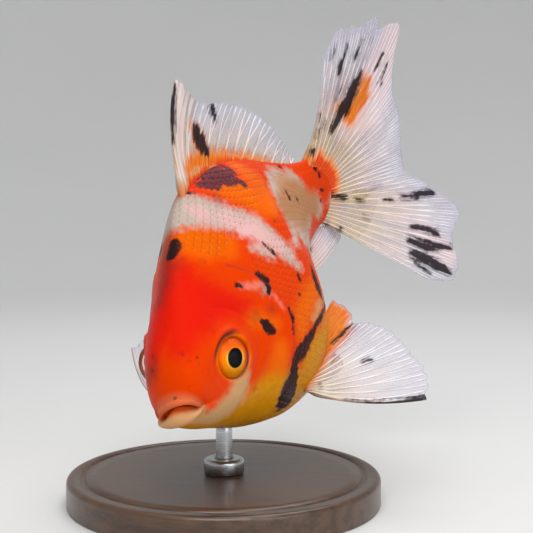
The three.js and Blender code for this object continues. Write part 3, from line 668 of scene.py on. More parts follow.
def flesh_material(name, colours, scaled):
    """Wet skin: orange to red and yellow, peach and cream patches, and black marks with uneven
    edges. On scales each plate's margin gets a faint golden painted sheen and its root painted shade."""
    g = Graph(name, colours)
    coarse = g.noise(140, 3)
    fine = g.noise(700, 4)
    grain = g.noise(2600, 2)
    red = g.mark("red", [(coarse, 5.0), (fine, 2.0)], -3.5, 3.0)
    cream = g.layered(
        "cream",
        (g.step(coarse, 0.35, 0.70, 0.0, 0.5), "rose"),
        (g.mark("rose", [(coarse, 3.0)], -2.0, 2.0, 0.85), "rose"),
        (g.mark("tan", [(coarse, 9.0)], -1.0, 7.0, 0.9), "tan"),
    )
    # A dark red mixed with dusk: painted shade in the creases and on the head's far side, and the colour of
    # dark blotches.
    smudge_and_painted_shade = g.mix(0.5, "shade", "dusk")
    holes = g.times(g.step(g.cells(620), 0.02, 0.20), g.step(g.noise(1500, 3), 0.30, 0.55))
    net = g.times(g.mark("net", [(fine, 3.2)], -0.5, 0.5), g.step(holes, 0.0, 1.0, 0.86, 0.99))
    base = g.layered(
        "orange",
        (g.mark("golden", [(coarse, 3.0), (fine, 2.0)], -2.5, 2.5), "golden"),
        (red, "red"),
        (g.step(coarse, 0.45, 0.75, 0.0, 0.35), g.mix(red, "orange", "red")),
        (g.mark("yellow", [(coarse, 3.0)], -2.5, 2.5), g.mix(fine, "yellow", "olive")),
        (g.mark("peach", [(fine, 2.4)], -1.8, 1.8, 0.95), "peach"),
        (g.mark("white", [(fine, 4.0), (coarse, 2.4)], -1.8, 1.6, 0.94), cream),
        (g.mark("pink", [(fine, 2.4)], -0.8, 0.9, 0.7), "pink"),
        # Dark blotches, and painted shade on the right side of the nape and snout.
        (g.mark("brown", [(coarse, 4.0), (fine, 2.4)], -2.4, 2.6, 0.55), smudge_and_painted_shade),
        (net, "dusk"),
        (g.mark("black", [(fine, 2.2), (grain, 1.0)], -0.40, 0.45, 0.985), "black"),
    )
    if scaled:
        margin = g.attribute("margin")
        root = g.attribute("root")
        # A faint golden painted sheen on each plate's margin, and painted shade at its root, where it lies
        # under the plate ahead.
        base = g.layered(base, (g.times(margin, 0.06), "golden"), (g.times(root, 0.10), "shade"))
        roughness = g.step(g.swayed(margin, grain, 0.6), 0.0, 1.0, 0.36, 0.46)
    else:
        freckle = g.times(g.step(g.noise(520, 3), 0.56, 0.72), g.step(coarse, 0.40, 0.60))
        base = g.layered(
            base,
            (g.times(freckle, 0.28), "shade"),
            (g.attribute("lip"), g.mix(fine, "lip", "peach")),
            (g.mark("spots", [(fine, 0.8)], -0.3, 0.3, 0.85), "black"),
            (g.attribute("mouth"), g.mix(g.step(fine, 0.3, 0.7, 0.0, 0.3), "throat", "shade")),
            (g.attribute("orbit"), g.mix(g.step(fine, 0.4, 0.9), "amber", "golden")),
            (g.attribute("rim"), "peach"),
            # Painted shade in the creases about the eyes, in the nostril pits and behind the gill covers'
            # edges.
            (g.attribute("crease"), smudge_and_painted_shade),
        )
        roughness = g.step(fine, 0.2, 0.8, 0.36, 0.48)
    return g.principled(
        Base_Color=base,
        Roughness=roughness,
        Normal=g.bump(grain, 0.10),
        Subsurface_Weight=0.06,
        Subsurface_Radius=(1.0, 0.35, 0.2),
        Subsurface_Scale=0.0015,
        Specular_IOR_Level=0.16,
        Specular_Tint="golden",
    )


def fin_material(name, colours, clear=0.40):
    """A clear web between white rays: the web lets most light by, the rays and the fleshy root
    don't. Clear is the web's least cover. Black, orange and rose marks lie on both."""
    g = Graph(name, colours)
    fine = g.noise(900, 4)
    streak = g.grain_on_map(4, 130, 5)
    folds = g.grain_on_map(2, 30, 2.2)
    ray = g.attribute("ray")
    along = g.attribute("along")
    web = g.ramp(
        g.swayed(along, g.noise(110, 2), 0.5),
        (0.26, "web_root"), (0.56, "blush"), (0.78, "web"), (0.98, "web_tip"),
    )
    # Painted shade of folds and streaks across the web, and the rays fade under it.
    web = g.layered(
        web,
        (g.step(streak, 0.42, 0.70, 0.0, 0.45), "web_shade"),
        (g.step(folds, 0.46, 0.62, 0.0, 0.55), "web_shade"),
    )
    faded = g.step(g.math("ADD", streak, folds), 0.80, 1.20, 1.0, 0.40)
    solid = g.times(g.attribute("solid"), g.step(streak, 0.15, 0.60, 0.72, 1.0))
    rose = g.mark("rose", [(streak, 4.0), (fine, 1.5)], -1.5, 3.0, 0.6)
    orange = g.mark("orange", [(streak, 7.0), (fine, 1.5)], -2.2, 1.8, 0.97)
    black = g.mark("black", [(streak, 4.4), (fine, 1.6)], -0.6, 0.9, 0.97)
    deep = g.times(g.mark("orange", [(streak, 3.0)], 0.4, 1.8), g.step(along, 0.10, 0.22, 0.9, 0.0))
    glow = g.layered(
        "golden",
        (g.step(fine, 0.30, 0.70, 0.1, 0.6), "yellow"),
        (g.step(along, 0.30, 0.55, 0.0, 0.5), "olive"),
        (g.step(streak, 0.45, 0.75, 0.1, 0.7), "orange"),
        (deep, "orange"),
    )
    base = g.layered(
        web,
        (g.times(g.step(ray, 0.10, 0.90, 0.0, 0.70), faded), "ray"),
        (g.math("MULTIPLY", solid, 0.5, clamp=True), "cream"),
        # Painted shade in the gaps between the bundled rays of the root and the leading band.
        (g.times(solid, g.step(ray, 0.10, 0.60, 0.45, 0.0)), "tan"),
        (rose, "blush"),
        (orange, glow),
        (black, g.mix(g.step(streak, 0.45, 0.75, 0.0, 0.6), "black", "dusk")),
    )
    cover = g.step(ray, 0.10, 0.90, clear, 0.90)
    for more in (g.times(solid, 0.6), orange, g.times(rose, 0.5)):
        cover = g.math("ADD", cover, more)
    return g.principled(
        Base_Color=base,
        Roughness=g.step(fine, 0.2, 0.8, 0.26, 0.38),
        Normal=g.bump(g.math("ADD", streak, ray), 0.12),
        Alpha=g.math("ADD", cover, black, clamp=True),
        Specular_IOR_Level=g.step(g.math("MAXIMUM", orange, black), 0.0, 1.0, 0.22, 0.05),
    )


def iris_material(name, colours):
    """A black pupil in a bright ring, gold and amber about it and orange at the rim, redder above
    and yellower below, with fine spokes. The ring field is the distance from the pupil's middle
    over the iris's radius."""
    g = Graph(name, colours)
    ring = g.attribute("ring")
    spokes = g.grain_on_map(3, 60, 6)
    blotch = g.noise(420, 3)
    up = g.swayed(g.attribute("up"), blotch, 0.5)
    iris = g.ramp(
        g.swayed(g.swayed(ring, spokes, 0.05), blotch, 0.10),
        (0.48, "gold"), (0.53, "gold"), (0.59, "amber"), (0.74, "amber"), (0.90, "iris"), (1.0, "iris"),
    )
    iris = g.layered(
        iris,
        (g.step(up, 0.1, 0.9, 0.0, 0.80), g.mix(0.4, "iris", "orange")),
        (g.step(up, -0.9, -0.1, 0.70, 0.0), g.mix(blotch, "yellow", "olive")),
        (g.step(spokes, 0.50, 0.80, 0.0, 0.22), "shade"),
    )
    return g.principled(
        Base_Color=g.mix(g.step(ring, 0.480, 0.500), "pupil", iris),
        Roughness=g.step(blotch, 0.2, 0.8, 0.18, 0.32),
        Metallic=g.step(ring, 0.62, 0.75, 0.0, 0.15),
        Normal=g.bump(spokes, 0.25),
        Specular_IOR_Level=0.0,
    )


def cornea_material(name, colours):
    """Clear wet cornea: it lets light straight through and mirrors by its Fresnel share."""
    g = Graph(name, colours)
    fresnel = g.node("Fresnel", {"IOR": 1.20}, "Fac")
    clear = g.node("BsdfTransparent", {}, "BSDF")
    gloss = g.node("BsdfGlossy", {"Roughness": g.step(g.noise(300, 2), 0.2, 0.8, 0.02, 0.05)}, "BSDF")
    return g.finished(g.node("MixShader", {0: fresnel, 1: clear, 2: gloss}, "Shader"))


def wood_material(name, colours):
    """Turned dark wood: long grain along x, with pores, under a satin varnish."""
    g = Graph(name, colours)
    across = g.stretched(g.place, (0.09, 1.0, 1.0))
    bands = g.noise(420, 4, across, 0.6)
    pores = g.noise(2600, 2, across)
    base = g.mix(g.step(bands, 0.35, 0.65), "wood_dark", "wood_light")
    return g.principled(
        Base_Color=g.mix(g.step(pores, 0.60, 0.75, 0.0, 0.6), base, "shade"),
        Roughness=g.step(bands, 0.2, 0.8, 0.30, 0.42),
        Normal=g.bump(pores, 0.15),
        Coat_Weight=0.3,
        Coat_Roughness=0.2,
    )


def steel_material(name, colours):
    """Brushed steel, with fine rings about the upright axis."""
    g = Graph(name, colours)
    rings = g.noise(900, 2, g.stretched(g.place, (0.05, 0.05, 3.0)))
    return g.principled(
        Base_Color=g.mix(rings, "steel", "steel_shade"),
        Roughness=g.step(rings, 0.2, 0.8, 0.22, 0.36),
        Metallic=1.0,
        Normal=g.bump(rings, 0.08, 0.0001),
    )


def floor_material(name, colours):
    """Matt pale floor with the faintest unevenness of tone."""
    g = Graph(name, colours)
    tone = g.noise(6, 2)
    return g.principled(
        Base_Color=g.mix(tone, "floor", "floor_shade"),
        Roughness=g.step(tone, 0.2, 0.8, 0.7, 0.8),
        Specular_IOR_Level=0.2,
    )


# ---------------------------------------------------------------- the skin

FACE_END = 0.10
HEAD_ROWS_END = 0.42
SKIN_PLACES = np.concatenate([
    np.arange(FACE_END, HEAD_ROWS_END, 0.0034), np.arange(HEAD_ROWS_END, 1.0, 0.0060), [1.0],
])
SKIN_COLUMNS = 288
SKIN_MARGIN = 0.01
STEM_WEDGE = 0.045
STEM_ROWS = 7

THROAT = np.array([-0.046, 0.003, -0.024])
THROAT_SHARES = np.array([0.10, 0.35, 0.60, 0.82, 0.94])
LIP_ANGLES = np.radians(np.linspace(205, -25, 17))
FACE_SHARES = np.linspace(0, 1, 25)[1:-1]
MOUTH_ROWS = len(THROAT_SHARES) + len(LIP_ANGLES) + len(FACE_SHARES)
BODY_ROWS = slice(MOUTH_ROWS, MOUTH_ROWS + len(SKIN_PLACES))

BROW_TURN = np.radians(98)
ORBIT_REACH = 0.10
ORBIT_FLOOR = 0.024
ORBIT_RING_HEIGHT = 0.0322
ORBIT_RING_RADIUS = 0.055
BROW_FOLD_RADIUS = 0.0625

JAW_CHAIN = np.array([
    [-0.060, -0.020, -0.105, 0.030], [-0.070, 0.030, -0.105, 0.030], [-0.110, 0.060, -0.120, 0.034],
])
CHIN_CHAIN = np.array([
    [-0.080, 0.068, -0.084, 0.032], [-0.050, 0.045, -0.066, 0.026], [-0.035, 0.010, -0.062, 0.022],
])
LIP_SPOT_CHAIN = np.array([[-0.015, 0.016, 0.0185, 0.004], [-0.016, 0.019, 0.020, 0.003]])
FACE_SPOTS = [[(0.090, 46, 0.0035)], [(0.12, 130, 0.0030)]]
NOSTRILS = ((0.060, 57, 0.0060), (0.078, 66, 0.0050))
NOSTRIL_FLAP_STEP = np.array([0.010, 0, -0.002])


def mouth_frame(around):
    """Per round: the lips' centre line, their radius, and the directions outwards and forwards.
    The line runs through both corners and swings out to the middle of each lip by sin^0.9."""
    c, n = np.cos(np.radians(around))[..., None], np.sin(np.radians(around))[..., None]
    middle = (MOUTH_LEFT_CORNER + MOUTH_RIGHT_CORNER) / 2
    half = (MOUTH_LEFT_CORNER - MOUTH_RIGHT_CORNER) / 2
    arch = np.where(n >= 0, UPPER_LIP_MIDDLE - middle, LOWER_LIP_MIDDLE - middle)
    centre = middle + half * c + arch * np.abs(n) ** 0.9
    lip = np.where(n >= 0, UPPER_LIP_RADIUS, LOWER_LIP_RADIUS)
    radius = LIP_CORNER_RADIUS + (lip - LIP_CORNER_RADIUS) * np.abs(n) ** 0.8
    outwards = unit(np.concatenate([np.full_like(c, -0.25), c, n], -1))
    forwards = unit(np.concatenate([np.full_like(c, 0.97), 0.25 * c, 0.25 * n], -1))
    return centre, radius, outwards, forwards


def cubic(start, end, leave, arrive, t):
    """Hermite's cubic from start to end, with the slopes leave and arrive at its ends."""
    return (
        (2 * t ** 3 - 3 * t ** 2 + 1) * start + (t ** 3 - 2 * t ** 2 + t) * leave
        + (3 * t ** 2 - 2 * t ** 3) * end + (t ** 3 - t ** 2) * arrive
    )


def mouth_rows(around):
    """Rows of points from the throat over the lips to the face's last row but one, with their lip
    and mouth fields."""
    centre, radius, outwards, forwards = mouth_frame(around)
    lips = [centre + radius * (np.cos(a) * outwards + np.sin(a) * forwards) for a in LIP_ANGLES]
    inside = [blend(THROAT, lips[0], np.array([share ** 1.3, share, share])) for share in THROAT_SHARES]
    start, end = lips[-1], on_body(FACE_END, around)
    length = 1.1 * np.linalg.norm(end - start, axis=-1, keepdims=True)
    leave = length * unit(0.95 * outwards - 0.10 * forwards)
    arrive = length * unit(on_body(FACE_END + 0.004, around) - on_body(FACE_END - 0.004, around))
    face = [cubic(start, end, leave, arrive, t) for t in FACE_SHARES]
    lip_field = np.concatenate([
        0 * THROAT_SHARES,
        smoothstep(np.radians(190), np.radians(140), LIP_ANGLES),
        1 - smoothstep(0.0, 0.16, FACE_SHARES),
    ])
    mouth_field = np.concatenate([
        1 + 0 * THROAT_SHARES,
        smoothstep(np.radians(135), np.radians(170), LIP_ANGLES),
        0 * FACE_SHARES,
    ])
    return np.stack(inside + lips + face), lip_field, mouth_field


def stem_rows(last):
    """Rows that close the stem to a wedge behind the body's last row, and the middle of its edge."""
    middle = last.mean(axis=0)
    flat = last - ((last - middle) @ TAIL_LEFT)[:, None] * TAIL_LEFT
    rows = [
        blend(blend(last, flat, t ** 1.5), middle, 0.25 * t * t) + t * STEM_WEDGE * TAIL_BACK
        for t in np.linspace(0, 1, STEM_ROWS + 2)[1:-1]
    ]
    return np.stack(rows), middle + STEM_WEDGE * TAIL_BACK


def skin_relief(place, around):
    """How far the skin stands off the body's section: the gill cover rises to its rear edge, and
    behind the head the skin sinks under the scales."""
    side = from_side(around)
    edge = head_end(around)
    covered = smoothstep(GILL_COVER_FOOT - 6, GILL_COVER_FOOT + 10, side)
    covered = covered * (1 - smoothstep(GILL_COVER_TOP - 12, GILL_COVER_TOP + 4, side))
    behind = smoothstep(edge, edge + 0.006, place) * covered
    rise = GILL_COVER_LIFT * covered * smoothstep(edge - 0.10, edge, place) ** 2
    sink = -SCALE_DEPTH * smoothstep(edge - 0.004, edge + 0.020, place) * (1 - covered)
    crease = 0.0030 * covered * bell(place, edge - 0.118, 0.006)
    return blend(rise, -SCALE_DEPTH, behind) + sink * (1 - behind) - crease


def shape_orbits(points):
    """Sinks the skin into the eyeball inside the orbit's opening, raises a fleshy ring about it, and
    cuts a crease under the brow. Points move along the eye's aim only. Returns the points, and
    the shade of the creases, the amber of the ring and the paleness of its lower edge."""
    shade, amber, rim = np.zeros((3, *points.shape[:-1]))
    for side in (1, -1):
        mirror = np.array([1, side, 1])
        aim = unit(EYE_AIM) * mirror
        offset = points - EYE_CENTRE * mirror
        depth = offset @ aim
        flat = offset - depth[..., None] * aim
        radius = np.linalg.norm(flat, axis=-1)
        near = (depth > -0.01) & (radius < ORBIT_REACH)
        behind = unit(np.cross(UP, aim) * side)
        above = np.cross(aim, behind) * side
        towards_brow = unit(flat) @ (np.cos(BROW_TURN) * behind + np.sin(BROW_TURN) * above)
        brow = smoothstep(0.40, 0.92, towards_brow)
        ball = np.sqrt(np.maximum(EYE_RADIUS ** 2 - radius ** 2, 0))
        out = radius - ORBIT_RING_RADIUS
        ring = ORBIT_RING_HEIGHT + 0.0030 * brow
        ring = ring - 14 * np.maximum(out, 0) ** 2 - 160 * np.minimum(out, 0) ** 2
        outside = blend(depth, ring, 1 - smoothstep(0.054, 0.086, radius))
        fold = BROW_FOLD_RADIUS - 0.0050 * smoothstep(0.2, 1.0, unit(flat) @ above)
        outside -= 0.0095 * brow * bell(radius, fold, 0.0062)
        outside += 0.0035 * brow * bell(radius, fold + 0.0100, 0.0055)
        target = blend(ball - ORBIT_FLOOR, outside, smoothstep(0.0458, 0.0492, radius))
        points = np.where(near[..., None], points + (target - depth)[..., None] * aim, points)
        # Painted shade: a faint line round the iris, and a dark band in the crease under the brow.
        line = 0.10 * bell(radius, 0.0475, 0.0022) + 2.2 * brow * bell(radius, fold, 0.0078)
        facing = 0.30 + 0.70 * smoothstep(-0.3, 0.7, towards_brow)
        below = smoothstep(0.2, 0.9, -towards_brow)
        shade = np.maximum(shade, near * line)
        amber = np.maximum(amber, near * 0.90 * facing * bell(radius, 0.0515, 0.0065))
        rim = np.maximum(rim, near * 0.60 * below * bell(radius, 0.0508, 0.0022))
    return points, shade, amber, rim


def sink_nostrils(points):
    """Two pits on each side of the snout, each with a low flap before it."""
    normal = body_normal(np.array(0.07), np.array(60.0))
    shade = np.zeros(points.shape[:-1])
    for side in (1, -1):
        mirror = np.array([1, side, 1])
        for place, around, size in NOSTRILS:
            at = on_body(place, around) * mirror
            away = np.linalg.norm(points - at, axis=-1)
            flap = np.linalg.norm(points - (at + NOSTRIL_FLAP_STEP), axis=-1)
            lift = 0.45 * size * bell(flap, 0, 0.8 * size) - size * bell(away, 0, 0.75 * size)
            points = points + lift[..., None] * normal * mirror
            shade = np.maximum(shade, bell(away, 0, 0.8 * size))
    return points, shade


def skin_value(place):
    """Where a place along the body lies on the height of the skin's UV map."""
    rows = MOUTH_ROWS + len(SKIN_PLACES) + STEM_ROWS
    values = np.linspace(SKIN_MARGIN, 1 - SKIN_MARGIN, rows)[BODY_ROWS]
    return np.interp(place, [0, *SKIN_PLACES, 1 + STEM_WEDGE], [0, *values, 1])


def make_skin(colours):
    """One closed grid from the throat over lips, face and body to the root of the tail."""
    shares = 2 * np.arange(SKIN_COLUMNS) / SKIN_COLUMNS
    face_rounds = round_at(FACE_END, shares)
    mouth, lips, mouths = mouth_rows(face_rounds)
    places = SKIN_PLACES[:, None]
    around = round_at(places, shares[None, :])
    bare_body = on_body(places, around)
    body = bare_body + skin_relief(places, around)[..., None] * body_normal(places, around)
    stem, stem_tip = stem_rows(body[-1])
    bare = np.concatenate([mouth, bare_body, stem])
    points, orbit_shade, orbit, rim = shape_orbits(np.concatenate([mouth, body, stem]))
    points, pit_shade = sink_nostrils(points)
    lip, inner, edge = np.zeros((3, *points.shape[:-1]))
    lower = 0.35 + 0.65 * smoothstep(0.1, -0.3, np.sin(np.radians(face_rounds)))
    lip[:MOUTH_ROWS] = lips[:, None] * lower
    inner[:MOUTH_ROWS] = mouths[:, None]
    side = from_side(around)
    covered = (side > GILL_COVER_FOOT) & (side < GILL_COVER_TOP)
    # Painted shade just behind each gill cover's rear edge.
    edge[BODY_ROWS] = 0.5 * covered * bell(places, head_end(around) + 0.003, 0.003)
    fields = body_marks(bare)
    fields["peach"] = np.maximum(fields["peach"], stroke_field(bare, [CHIN_CHAIN]))
    fields["yellow"] = np.maximum(fields["yellow"], stroke_field(bare, [JAW_CHAIN]))
    fields |= {
        "lip": lip,
        "mouth": inner,
        "spots": stroke_field(bare, [LIP_SPOT_CHAIN, *body_chains(FACE_SPOTS)]),
        "orbit": orbit,
        "rim": rim,
        # Painted shade in the brow's crease, round the iris, in the nostril pits and behind the gill covers.
        "crease": np.clip(0.45 * orbit_shade + 0.7 * pit_shade + edge, 0, 0.9),
    }
    poles = to_world(np.stack([THROAT, stem_tip]))
    return add_piece(
        "fish_skin",
        *closed_shell(to_world(points), poles, fields, SKIN_MARGIN, False),
        flesh_material("wet skin", colours, False),
        "skin_red",
        ("head", "upper_lip", "lower_jaw", "trunk", "tail_stem", "gill_cover_left", "gill_cover_right"),
    )


# ---------------------------------------------------------------- the scales

SCALE_DEPTH = 0.0013
SCALE_ROW_STEP = 0.0128
SCALE_PITCH = 0.0235
SCALE_LIFT = 0.0002
SCALE_THICKNESS = 0.0006
SCALE_PATCH = 0.003
SCALE_ALONG = np.array([0.0, 0.45, 0.74, 0.92, 1.0])
SCALE_ACROSS = np.array([-1.0, -0.55, 0.0, 0.55, 1.0])
SCALE_WIDTHS = np.array([0.62, 1.0, 0.88, 0.56, 0.22])
FIRST_SCALE = 0.266
LAST_SCALE = 0.985


def scale_roots():
    """Roots in alternate rows behind the gill covers: row steps along the body, and steps of length
    from the lateral line round it, both shrinking towards the tail. Returns place, share and size."""
    found = []
    place, row = FIRST_SCALE, 0
    while place < LAST_SCALE:
        shrink = 1 - 0.36 * smoothstep(0.60, 0.92, place)
        girth = np.interp(place, GIRTH_PLACES, HALF_GIRTHS)
        lateral = np.interp(place, GIRTH_PLACES, LATERAL_ARCS)
        steps = np.arange(-60, 61) + 0.5 * (row % 2)
        shares = (lateral + steps * SCALE_PITCH * shrink) / girth
        shares = shares[(shares > 0.006) & (shares < 0.994)]
        for side_shares in (shares, 2 - shares):
            kept = side_shares[place > head_end(round_at(place, side_shares)) - 0.012]
            found.append(np.stack([np.full_like(kept, place), kept, np.full_like(kept, shrink)], -1))
        place += SCALE_ROW_STEP * shrink
        row += 1
    return np.concatenate(found)


def scale_faces(count):
    """Faces of a number of plates: a grid above, the same below, and walls round their rims."""
    n = len(SCALE_ALONG)
    grid = np.arange(n * n).reshape(n, n)
    sheet = grid_quads(n, n, False)
    rim = np.concatenate([grid[0, :-1], grid[:-1, -1], grid[-1, :0:-1], grid[:0:-1, 0]])
    following = np.roll(rim, -1)
    walls = np.stack([rim, following, following + n * n, rim + n * n], -1)
    plate = np.concatenate([sheet, sheet[:, ::-1] + n * n, walls])
    return (plate + 2 * n * n * np.arange(count)[:, None, None]).reshape(-1, 4)


def add_scales(name, roots, material):
    """Thin plates laid along the body: each is a grid over its own patch of the surface, its root
    under the skin and its free margin lifted, closed by an underside. Each takes a small patch of
    the UV map where its root is on the skin's."""
    place, share, shrink = (column[:, None, None] for column in roots.T)
    crown = 1 - SCALE_ACROSS ** 2
    along = SCALE_ALONG[:, None] * (0.95 + 0.05 * crown)
    across = SCALE_ACROSS * SCALE_WIDTHS[:, None]
    at_place = np.minimum(place + along * 1.95 * SCALE_ROW_STEP * shrink, 1.0)
    girth = np.interp(at_place, GIRTH_PLACES, HALF_GIRTHS)
    at_share = np.mod(share + across * 0.58 * SCALE_PITCH * shrink / girth, 2)
    around = round_at(at_place, at_share)
    surface = on_body(at_place, around)
    normal = body_normal(at_place, around)
    height = -SCALE_DEPTH - 0.0004 + (SCALE_DEPTH + SCALE_LIFT) * along - 0.0003 * (1 - crown) * along
    height = blend(-SCALE_DEPTH - 0.0001 + 0.0002 * along, height, smoothstep(0.27, 0.46, place))
    under = height - SCALE_THICKNESS * (0.35 + 0.65 * crown)
    points = np.stack([surface + h[..., None] * normal for h in (height, under)], 1)
    fields = body_marks(np.stack([surface, surface], 1))
    # Fields for a painted sheen on each plate's free margin and painted shade at its root.
    fields["margin"] = np.broadcast_to(smoothstep(0.62, 1.0, along), points.shape[:-1])
    fields["root"] = np.broadcast_to(1 - smoothstep(0.30, 0.72, along), points.shape[:-1])
    spots = np.clip(np.stack([roots[:, 1] / 2, skin_value(roots[:, 0])], -1), 0.002, 0.998)
    patch = SCALE_PATCH * np.stack(np.meshgrid(SCALE_ACROSS / 2, SCALE_ALONG - 0.5), -1).reshape(-1, 2)
    faces = scale_faces(len(roots))
    corners = (spots[:, None, :] + np.tile(patch, (2, 1))).reshape(-1, 2)[faces]
    return add_piece(name, to_world(points), [faces], [corners], fields, material, "skin_orange")


def make_scales(colours):
    """The scales of each side as one piece."""
    material = flesh_material("wet scales", colours, True)
    roots = scale_roots()
    left = roots[:, 1] <= 1
    add_scales("scales_left", roots[left], material)
    add_scales("scales_right", roots[~left], material)


# ---------------------------------------------------------------- the fins

TAIL_BACK = np.array([-np.cos(np.radians(TAIL_BEND)), np.sin(np.radians(TAIL_BEND)), 0])
TAIL_LEFT = np.array([np.sin(np.radians(TAIL_BEND)), np.cos(np.radians(TAIL_BEND)), 0])
TAIL_TOP_RAY = 57.4
TAIL_LEFT_FOOT_RAY = -58.4
TAIL_RIGHT_FOOT_RAY = -41


def ray_sheet(root, tip, bow, wave):
    """A fin's middle surface: straight rays from root(v) to tip(v), bowed by 4u(1 - u) of bow(v) and
    waved by u squared of wave(v). Each is a function of the share v across the fin."""
    def at(u, v):
        u = np.asarray(u, float)[..., None]
        start, end = root(v), tip(v)
        return blend(start, end, u) + 4 * u * (1 - u) * bow(v) + u * u * wave(v)
    return at


def along_vector(values, direction):
    """Values times one direction, as vectors."""
    return np.asarray(values, float)[..., None] * direction


DORSAL_ROOT = (0.392, 0.885)
dorsal_tip_place = curve_through([
    (0, 0.530), (0.04, 0.558), (0.08, 0.574), (0.14, 0.600), (0.3, 0.700), (0.45, 0.770), (0.6, 0.820),
    (0.8, 0.866), (1, 0.915),
])
dorsal_tip_height = curve_through([
    (0, 0.570), (0.04, 0.556), (0.08, 0.515), (0.14, 0.482), (0.3, 0.430), (0.45, 0.382), (0.6, 0.325),
    (0.8, 0.235), (1, 0.155),
])


def dorsal_root(v):
    """Foot of a dorsal ray, a little under the ridge of the back."""
    place = blend(*DORSAL_ROOT, v)
    return on_axis(place, 0, back(np.sqrt(place)) - 0.018)


dorsal_sheet = ray_sheet(
    dorsal_root,
    lambda v: on_axis(dorsal_tip_place(v), 0, dorsal_tip_height(v)),
    lambda v: along_vector(0.030 * (1 - v) ** 3, np.array([1.0, 0.0, 1.0])),
    lambda v: along_vector(0.012 * np.sin(11 * v) * v, np.array([0.0, 1.0, 0.0])),
)


def tail_direction(angle, side, lean):
    """Direction of a tail ray at an angle above the axis, leaning out more the lower it is."""
    free = lean - 0.42 * np.sin(np.radians(angle))
    outward = 0.02 + (free + np.hypot(free, 0.1)) / 2
    return unit(
        along_vector(np.cos(np.radians(angle)), TAIL_BACK)
        + along_vector(np.sin(np.radians(angle)), UP)
        + along_vector(side * outward, TAIL_LEFT)
    )


def tail_sheet(side, lean, drop, foot, reach):
    """One half of the tail fin, a fan of rays down to the foot ray, with lengths reach(v)."""
    def angle_of(v):
        return blend(TAIL_TOP_RAY, foot, v) - drop * (1 - v)

    def root(v):
        return on_axis(0.925 + 0.055 * np.sin(np.pi * v), side * (0.008 + 0.006 * v), 0.118 - 0.172 * v)

    def bow(v):
        size = reach(v) * np.where(v > 0.5, 0, -0.06 * (1 - 2 * v))
        return size[..., None] * tail_direction(angle_of(v) + 90 * np.sign(0.5 - v), side, lean)

    return ray_sheet(
        root,
        lambda v: root(v) + reach(v)[..., None] * tail_direction(angle_of(v), side, lean),
        bow,
        lambda v: along_vector(side * 0.010 * np.sin(17 * v), TAIL_LEFT),
    )


left_tail_reach = curve_through([
    (0, 0.300), (0.02, 0.360), (0.07, 0.410), (0.133, 0.434), (0.18, 0.464), (0.228, 0.507),
    (0.262, 0.430), (0.305, 0.367), (0.378, 0.320), (0.452, 0.280), (0.56, 0.262), (0.60, 0.268),
    (0.668, 0.337), (0.761, 0.426), (0.803, 0.405), (0.851, 0.403), (0.927, 0.440), (0.975, 0.420),
    (1, 0.360),
])
right_tail_reach = curve_through([
    (0, 0.31), (0.07, 0.40), (0.14, 0.46), (0.185, 0.53), (0.25, 0.45), (0.34, 0.38), (0.46, 0.31),
    (0.57, 0.27), (0.72, 0.42), (0.84, 0.44), (0.95, 0.41), (1, 0.35),
])


def fan_sheet(centre, root_half, ahead, behind, angles, reach, bow, wave):
    """A paired fin: a fan about a short root, from the direction ahead towards the one behind."""
    centre, root_half = np.asarray(centre, float), np.asarray(root_half, float)
    first = unit(np.asarray(ahead, float))
    behind = np.asarray(behind, float)
    second = unit(behind - (behind @ first) * first)
    lift = np.cross(first, second)

    def direction(v):
        angle = np.radians(blend(*angles, v))
        return along_vector(np.cos(angle), first) + along_vector(np.sin(angle), second)

    return ray_sheet(
        lambda v: centre + along_vector(1 - 2 * v, root_half),
        lambda v: centre + reach(v)[..., None] * direction(v),
        lambda v: along_vector(-bow * (1 - v), second) + 0.012 * lift,
        lambda v: along_vector(wave * np.sin(13 * v), lift),
    )


pectoral_reach = curve_through([
    (0, 0.322), (0.2, 0.320), (0.42, 0.300), (0.6, 0.292), (0.72, 0.280), (0.82, 0.268), (0.86, 0.290),
    (0.93, 0.312), (1, 0.320),
])
pelvic_reach = curve_through([(0, 0.225), (0.35, 0.220), (0.7, 0.190), (1, 0.130)])
anal_reach = curve_through([(0, 0.225), (0.3, 0.215), (0.65, 0.180), (1, 0.120)])


def tail_sheets():
    """Both halves of the tail fin: the left one leans out more and hangs lower."""
    return {
        "left": tail_sheet(1, 0.30, 0, TAIL_LEFT_FOOT_RAY, left_tail_reach),
        "right": tail_sheet(-1, 0.0, 10, TAIL_RIGHT_FOOT_RAY, right_tail_reach),
    }


def pectoral_sheets():
    """Both pectoral fins: the left one spread forwards and out, the right one held further back."""
    left = fan_sheet((-0.375, 0.163, -0.235), (0.006, 0.010, -0.008), (0.1, 1, -0.2), (-1, 0, 0.2),
                     (5, 92), pectoral_reach, 0.036, 0.006)
    right = fan_sheet((-0.375, -0.163, -0.235), (0.006, -0.010, -0.008), (-0.3, -1, -0.1), (-1, 0, 0.2),
                      (29, 106), lambda v: (1.03 + 0.10 * v) * pectoral_reach(v), 0.055, 0.006)
    return {"left": left, "right": right}


def pelvic_sheet(side):
    """A pelvic fin under the belly, swept back."""
    return fan_sheet(on_axis(0.50, side * 0.070, -0.318), (0.022, side * 0.010, -0.004),
                     (-0.80, side * 0.30 + 0.1, -0.30), (-0.7, -side * 0.35, 0.7), (0, 44), pelvic_reach,
                     0.014, 0.004)


def anal_sheet(side):
    """One of the twin anal fins behind the vent."""
    return fan_sheet(on_axis(0.765, side * 0.014, -0.106), (0.042, 0, -0.030),
                     (-0.93, side * 0.14 + 0.22, -0.15), (-0.5, 0.1, 0.86), (0, 30), anal_reach,
                     0.010, 0.003)


# The shell's swelling at a fin's root is greatest at this share of the rays' length.
ROOT_SWELL = 0.08
HALF_THICKNESS = 0.0010
RAY_HEIGHT = 0.0011
FIN_MARK_SPREAD = 1.35


